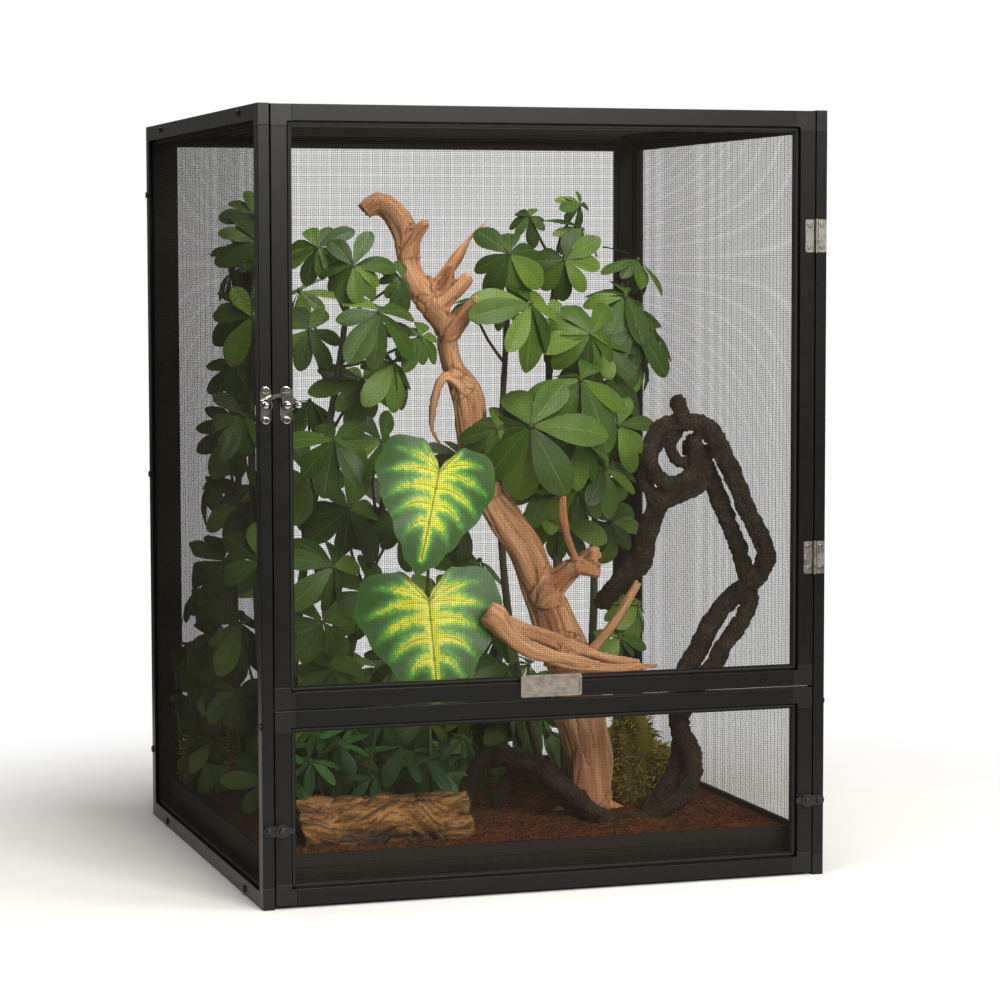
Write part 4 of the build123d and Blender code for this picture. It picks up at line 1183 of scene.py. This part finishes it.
def add_heart(growth, middle, across, up, facing, size, height, cupping):
    lines = vein_lines()
    midrib = [(0.0, 0.22), (0.0, 0.0), (0.0, -0.6)]
    around, rings = 132, 34
    rows = []
    for ring in range(rings + 1):
        share = 0.012 + 0.988 * ring / rings
        row = []
        for step in range(around):
            angle = 2 * pi * step / around
            edge = heart_edge(angle) * share
            x, y = sin(angle) * edge, cos(angle) * edge
            gap, where = min((off_line(abs(x), y, line) for line in lines))
            rib_gap, rib_where = off_line(x, y, midrib)
            band = min(gap / (0.19 - 0.11 * where) + 0.55 * where ** 3,
                       rib_gap / (0.24 - 0.18 * rib_where))
            line = min(gap * size / MM, rib_gap * size / MM * 0.7)
            vein_rise = 0.9 * MM * exp(-(gap / 0.018) ** 2)
            vein_rise += 1.2 * MM * exp(-(rib_gap / 0.02) ** 2)
            back = cupping * (2 * x) ** 2 + cupping * 0.9 * max(0.0, -y - 0.2) ** 2 * 4
            ripple = 1.6 * MM * share * sin(angle * 7) * max(0.0, share - 0.6)
            point = middle + across * x * size + up * y * height + facing * (
                ripple - back - vein_rise * 0.6)
            row.append((kept_inside(point), (band, line, 1 - share)))
        rows.append(row)
    first, count = growth.add_grid(rows, closed=True)
    growth.add_cap(first, count, reverse=True)


class TERRARIUM_OT_heart_leaves(bpy.types.Operator):
    """Unfolds the two broad leaves with yellow bands"""
    bl_idname = "terrarium.heart_leaves"
    bl_label = "Unfold Heart Leaves"

    def execute(self, context):
        settings = context.scene.terrarium_heart_leaves
        blades = Growth()
        stalks = Growth()
        for foot, middle, turn, roll, size, height in (
                ((176, 150, 28), (152, 60, 304), -15, 0.1, 88, 86),
                ((114, 150, 28), (149, 60, 201), 2, -0.05, 105, 94)):
            facing = Vector((-0.1 + roll, -1, 0.22)).normalized()
            across = Vector((cos(radians(turn)), 0, sin(radians(turn))))
            across = (across - facing * across.dot(facing)).normalized()
            up = facing.cross(across) * -1
            up = up if up.z > 0 else -up
            centre = at(*middle)
            add_heart(blades, centre, across, up, facing, size * MM, height * MM,
                      settings.cupping)
            joint = centre + up * height * 0.21 * MM - facing * 2.2 * MM
            bow = (at(*foot) + joint) / 2 + Vector((0, 24 * MM, 20 * MM))
            add_stalk(stalks, [(at(*foot), 1.8 * MM), (bow, 1.5 * MM),
                               (joint + Vector((0, 16, -4)) * MM, 1.4 * MM),
                               (joint, 1.2 * MM)], 8)
        finish = heart_finish("banded leaf", tuple(settings.blade), tuple(settings.band))
        stalk = stalk_finish("banded leaf stalk", (0.06, 0.1, 0.03))
        add_piece("heart_leaf_blades", blades.mesh("heart leaves"), "enclosure", finish,
                  ["heart_leaves"])
        add_piece("heart_leaf_stalks", stalks.mesh("heart stalks"), "enclosure", stalk)
        return {"FINISHED"}


# ---- Moss -------------------------------------------------------------------------------
class TerrariumMoss(bpy.types.PropertyGroup):
    strands: bpy.props.IntProperty(
        name="Strands", description="Number of strands in each moss cushion", default=1900,
        min=10)
    colour: bpy.props.FloatVectorProperty(
        name="Moss Colour", description="Middle colour of the moss", subtype="COLOR",
        default=(0.25, 0.205, 0.03), min=0, max=1)
    tip: bpy.props.FloatVectorProperty(
        name="Tip Colour", description="Colour of the strands' tips", subtype="COLOR",
        default=(0.68, 0.6, 0.09), min=0, max=1)


def cushion_height(share):
    """Height of a cushion as a share of its own, by the share of its radius."""
    return sqrt(max(0.0, 1 - share ** 2.4))


def add_cushion(growth, place, radius, rise):
    """The dark close body of a moss cushion."""
    rows = []
    for ring in range(13):
        share = ring / 12
        row = []
        for step in range(30):
            angle = 2 * pi * step / 30
            out = Vector((cos(angle), sin(angle), 0)) * share * radius * 0.9
            lump = 1 + 0.22 * noise.noise((place + out) * 90 + Vector((0, 0, share * 3)))
            point = place + out * lump
            point.z = SOIL_TOP + rise * 0.88 * cushion_height(share) * lump
            row.append((kept_inside(point), (0.0, 0.3, 0.3)))
        rows.append(row)
    growth.add_grid(rows, closed=True)


def add_moss_strand(growth, place, radius, rise, chance):
    """One short strand that leans out of its cushion."""
    turn = chance.uniform(0, 2 * pi)
    share = sqrt(chance.random())
    out = Vector((cos(turn), sin(turn), 0))
    start = place + out * share * radius * 0.85
    start.z = SOIL_TOP + rise * 0.9 * cushion_height(share) * chance.uniform(0.25, 1.0)
    lean = (out * share * 1.2 + Vector((chance.uniform(-1, 1), chance.uniform(-1, 1),
                                        chance.uniform(0.2, 1.4)))).normalized()
    side = lean.orthogonal().normalized()
    tint = chance.random()
    length = chance.uniform(6, 15) * MM
    rows = []
    for t, girth in ((0.0, 0.5), (0.4, 0.75), (0.75, 0.5), (1.0, 0.1)):
        centre = start + lean * length * t - Vector((0, 0, 4 * MM * t * t))
        rows.append([(kept_inside(centre + Matrix.Rotation(angle, 3, lean) @ side
                                  * girth * MM), (0.0, t, tint))
                     for angle in (0.0, 2.1, 4.2)])
    growth.add_grid(rows, closed=True)


class TERRARIUM_OT_moss(bpy.types.Operator):
    """Raises the moss cushions from fine strands"""
    bl_idname = "terrarium.moss"
    bl_label = "Raise Moss"

    def execute(self, context):
        settings = context.scene.terrarium_moss
        chance = random.Random(33)
        growth = Growth()
        for place, radius, rise in ((at(364, 196, 31), 28, 84), (at(344, 206, 31), 24, 66),
                                    (at(384, 188, 31), 19, 52), (at(36, 372, 31), 22, 80),
                                    (at(56, 340, 31), 18, 56)):
            add_cushion(growth, place, radius * MM, rise * MM)
            for _ in range(settings.strands):
                add_moss_strand(growth, place, radius * MM, rise * MM, chance)
        finish = moss_finish("cushion moss", tuple(settings.colour), tuple(settings.tip))
        add_piece("moss_cushions", growth.mesh("moss"), "enclosure", finish, ["moss"])
        return {"FINISHED"}


# ---- Stage ------------------------------------------------------------------------------
class TerrariumStage(bpy.types.PropertyGroup):
    key_power: bpy.props.FloatProperty(
        name="Key Light", description="Power of the main softbox", default=66.0, min=0,
        unit="POWER")
    fill_power: bpy.props.FloatProperty(
        name="Fill Light", description="Power of the softbox on the right", default=12.0,
        min=0, unit="POWER")
    top_power: bpy.props.FloatProperty(
        name="Top Light", description="Power of the softbox overhead", default=24.0, min=0,
        unit="POWER")
    ambient: bpy.props.FloatProperty(
        name="Ambient Light", description="Strength of the even light from all round",
        default=0.19, min=0)
    floor: bpy.props.FloatVectorProperty(
        name="Floor Colour", description="Colour of the pale floor", subtype="COLOR",
        default=(0.88, 0.88, 0.88), min=0, max=1)


def add_softbox(name, place, aim, wide, high, power):
    lamp = bpy.data.lights.new(name, "AREA")
    lamp.shape = "RECTANGLE"
    lamp.size, lamp.size_y = wide, high
    lamp.energy = power
    lamp.color = (1.0, 0.965, 0.91)
    holder = bpy.data.objects.new(name, lamp)
    bpy.context.scene.collection.objects.link(holder)
    holder.location = place
    holder.rotation_mode = "QUATERNION"
    holder.rotation_quaternion = (aim - place).to_track_quat("-Z", "Y")


def light_world(ambient):
    """Even light for the object, and white where the camera or a gloss sees past it."""
    world = bpy.data.worlds.new("studio")
    world.use_nodes = True
    tree = world.node_tree
    tree.nodes.clear()
    dim = tree.nodes.new("ShaderNodeBackground")
    white = tree.nodes.new("ShaderNodeBackground")
    dim.inputs["Strength"].default_value = ambient
    white.inputs["Color"].default_value = (1, 1, 1, 1)
    dim.inputs["Color"].default_value = (1, 0.975, 0.94, 1)
    path = tree.nodes.new("ShaderNodeLightPath")
    seen = combined(tree, "MAXIMUM", path.outputs["Is Camera Ray"],
                    path.outputs["Is Transmission Ray"])
    mix = tree.nodes.new("ShaderNodeMixShader")
    tree.links.new(seen, mix.inputs["Fac"])
    tree.links.new(dim.outputs[0], mix.inputs[1])
    tree.links.new(white.outputs[0], mix.inputs[2])
    out = tree.nodes.new("ShaderNodeOutputWorld")
    tree.links.new(mix.outputs[0], out.inputs["Surface"])
    bpy.context.scene.world = world


def floor_finish(colour):
    """Pale floor that turns to the backdrop's white away from the object; past 0.75 m its own colour
    is painted dark, seen only in reflections and bounced light.
    """
    finish, tree, shader = start_finish("pale floor", 0.7)
    place = object_place(tree)
    grain = speckle(tree, place, (40, 40, 40), 3)
    pale = shades(tree, grain, [(0.3, tone(colour, 0.99)), (0.7, tone(colour, 1.01))])
    length = tree.nodes.new("ShaderNodeVectorMath")
    length.operation = "LENGTH"
    tree.links.new(place, length.inputs[0])
    # Painted shade: from 0.75 m to 1.05 m the floor's colour falls to a fifth, so glossy parts
    # reflect dark there while the camera still sees white.
    studio = eased(tree, length.outputs["Value"], 0.75, 1.05)
    tree.links.new(blended(tree, studio, pale, tone(colour, 0.2)),
                   shader.inputs["Base Color"])
    far = eased(tree, length.outputs["Value"], 0.34, 0.75)
    path = tree.nodes.new("ShaderNodeLightPath")
    seen = combined(tree, "MULTIPLY", far, combined(
        tree, "MAXIMUM", path.outputs["Is Camera Ray"], path.outputs["Is Transmission Ray"]))
    glow = tree.nodes.new("ShaderNodeEmission")
    glow.inputs["Color"].default_value = (1, 1, 1, 1)
    mix = tree.nodes.new("ShaderNodeMixShader")
    tree.links.new(seen, mix.inputs["Fac"])
    tree.links.new(shader.outputs[0], mix.inputs[1])
    tree.links.new(glow.outputs[0], mix.inputs[2])
    tree.links.new(mix.outputs[0], tree.nodes["Material Output"].inputs["Surface"])
    return finish


def set_camera():
    """Camera at the photograph's place: above the middle height, off to the left."""
    yaw, pitch, roll = radians(17.47), radians(-4.41), radians(-0.11)
    forward = Vector((sin(yaw) * cos(pitch), cos(yaw) * cos(pitch), sin(pitch)))
    level = Vector((cos(yaw), -sin(yaw), 0))
    upright = level.cross(forward)
    right = level * cos(roll) + upright * sin(roll)
    up = upright * cos(roll) - level * sin(roll)
    lens = bpy.data.cameras.new("camera")
    lens.sensor_width = 36
    lens.lens = 36 * 3.066
    lens.clip_start, lens.clip_end = 0.05, 50
    camera = bpy.data.objects.new("camera", lens)
    bpy.context.scene.collection.objects.link(camera)
    camera.matrix_world = Matrix.Translation(at(-509.2, -2208.5, 482.0)) @ Matrix(
        (right, up, -forward)).transposed().to_4x4()
    bpy.context.scene.camera = camera


class TERRARIUM_OT_stage(bpy.types.Operator):
    """Sets the floor, softboxes, backdrop and camera"""
    bl_idname = "terrarium.stage"
    bl_label = "Set Stage"

    def execute(self, context):
        settings = context.scene.terrarium_stage
        mesh = bpy.data.meshes.new("floor")
        reach = 9.0
        mesh.from_pydata([(-reach, -reach, 0), (reach, -reach, 0), (reach, reach, 0),
                          (-reach, reach, 0)], [], [(0, 1, 2, 3)])
        mesh.materials.append(floor_finish(tuple(settings.floor)))
        floor = bpy.data.objects.new("floor", mesh)
        context.scene.collection.objects.link(floor)
        middle = Vector((0, 0, 0.34))
        add_softbox("key softbox", Vector((0.35, -2.3, 1.25)), middle, 1.3, 0.9,
                    settings.key_power)
        add_softbox("fill softbox", Vector((1.7, -1.3, 1.2)), middle, 0.9, 1.2,
                    settings.fill_power)
        add_softbox("top softbox", Vector((0.0, -0.25, 1.7)), middle, 0.9, 0.9,
                    settings.top_power)
        light_world(settings.ambient)
        set_camera()
        context.scene.view_settings.view_transform = "Standard"
        return {"FINISHED"}


# ---- Panel and registration ---------------------------------------------------------------
GROUPS = {
    "terrarium_frame": TerrariumFrame, "terrarium_screens": TerrariumScreens,
    "terrarium_soil": TerrariumSoil, "terrarium_wood": TerrariumWood,
    "terrarium_vine": TerrariumVine, "terrarium_bark": TerrariumBark,
    "terrarium_foliage": TerrariumFoliage, "terrarium_ground_plant": TerrariumGroundPlant,
    "terrarium_heart_leaves": TerrariumHeartLeaves, "terrarium_moss": TerrariumMoss,
    "terrarium_stage": TerrariumStage,
}
OPERATORS = {
    "terrarium_stage": TERRARIUM_OT_stage, "terrarium_frame": TERRARIUM_OT_frame,
    "terrarium_screens": TERRARIUM_OT_screens, "terrarium_soil": TERRARIUM_OT_soil,
    "terrarium_wood": TERRARIUM_OT_driftwood, "terrarium_vine": TERRARIUM_OT_vine,
    "terrarium_bark": TERRARIUM_OT_bark, "terrarium_foliage": TERRARIUM_OT_bushes,
    "terrarium_ground_plant": TERRARIUM_OT_ground_plant,
    "terrarium_heart_leaves": TERRARIUM_OT_heart_leaves, "terrarium_moss": TERRARIUM_OT_moss,
}


class TERRARIUM_PT_panel(bpy.types.Panel):
    """Every step of dressing the terrarium, with its sizes and colours"""
    bl_idname = "TERRARIUM_PT_panel"
    bl_label = "Terrarium"
    bl_space_type = "VIEW_3D"
    bl_region_type = "UI"
    bl_category = "Terrarium"

    def draw(self, context):
        for name, operator in OPERATORS.items():
            box = self.layout.box()
            settings = getattr(context.scene, name)
            for field in GROUPS[name].__annotations__:
                box.prop(settings, field)
            box.operator(operator.bl_idname)


def register():
    for name, group in GROUPS.items():
        bpy.utils.register_class(group)
        setattr(bpy.types.Scene, name, bpy.props.PointerProperty(type=group))
    for operator in OPERATORS.values():
        bpy.utils.register_class(operator)
    bpy.utils.register_class(TERRARIUM_PT_panel)


def unregister():
    bpy.utils.unregister_class(TERRARIUM_PT_panel)
    for operator in OPERATORS.values():
        bpy.utils.unregister_class(operator)
    for name, group in GROUPS.items():
        delattr(bpy.types.Scene, name)
        bpy.utils.unregister_class(group)


def main():
    register()
    for operator in OPERATORS.values():
        family, action = operator.bl_idname.split(".")
        getattr(getattr(bpy.ops, family), action)()


if __name__ == "__main__":
    main()
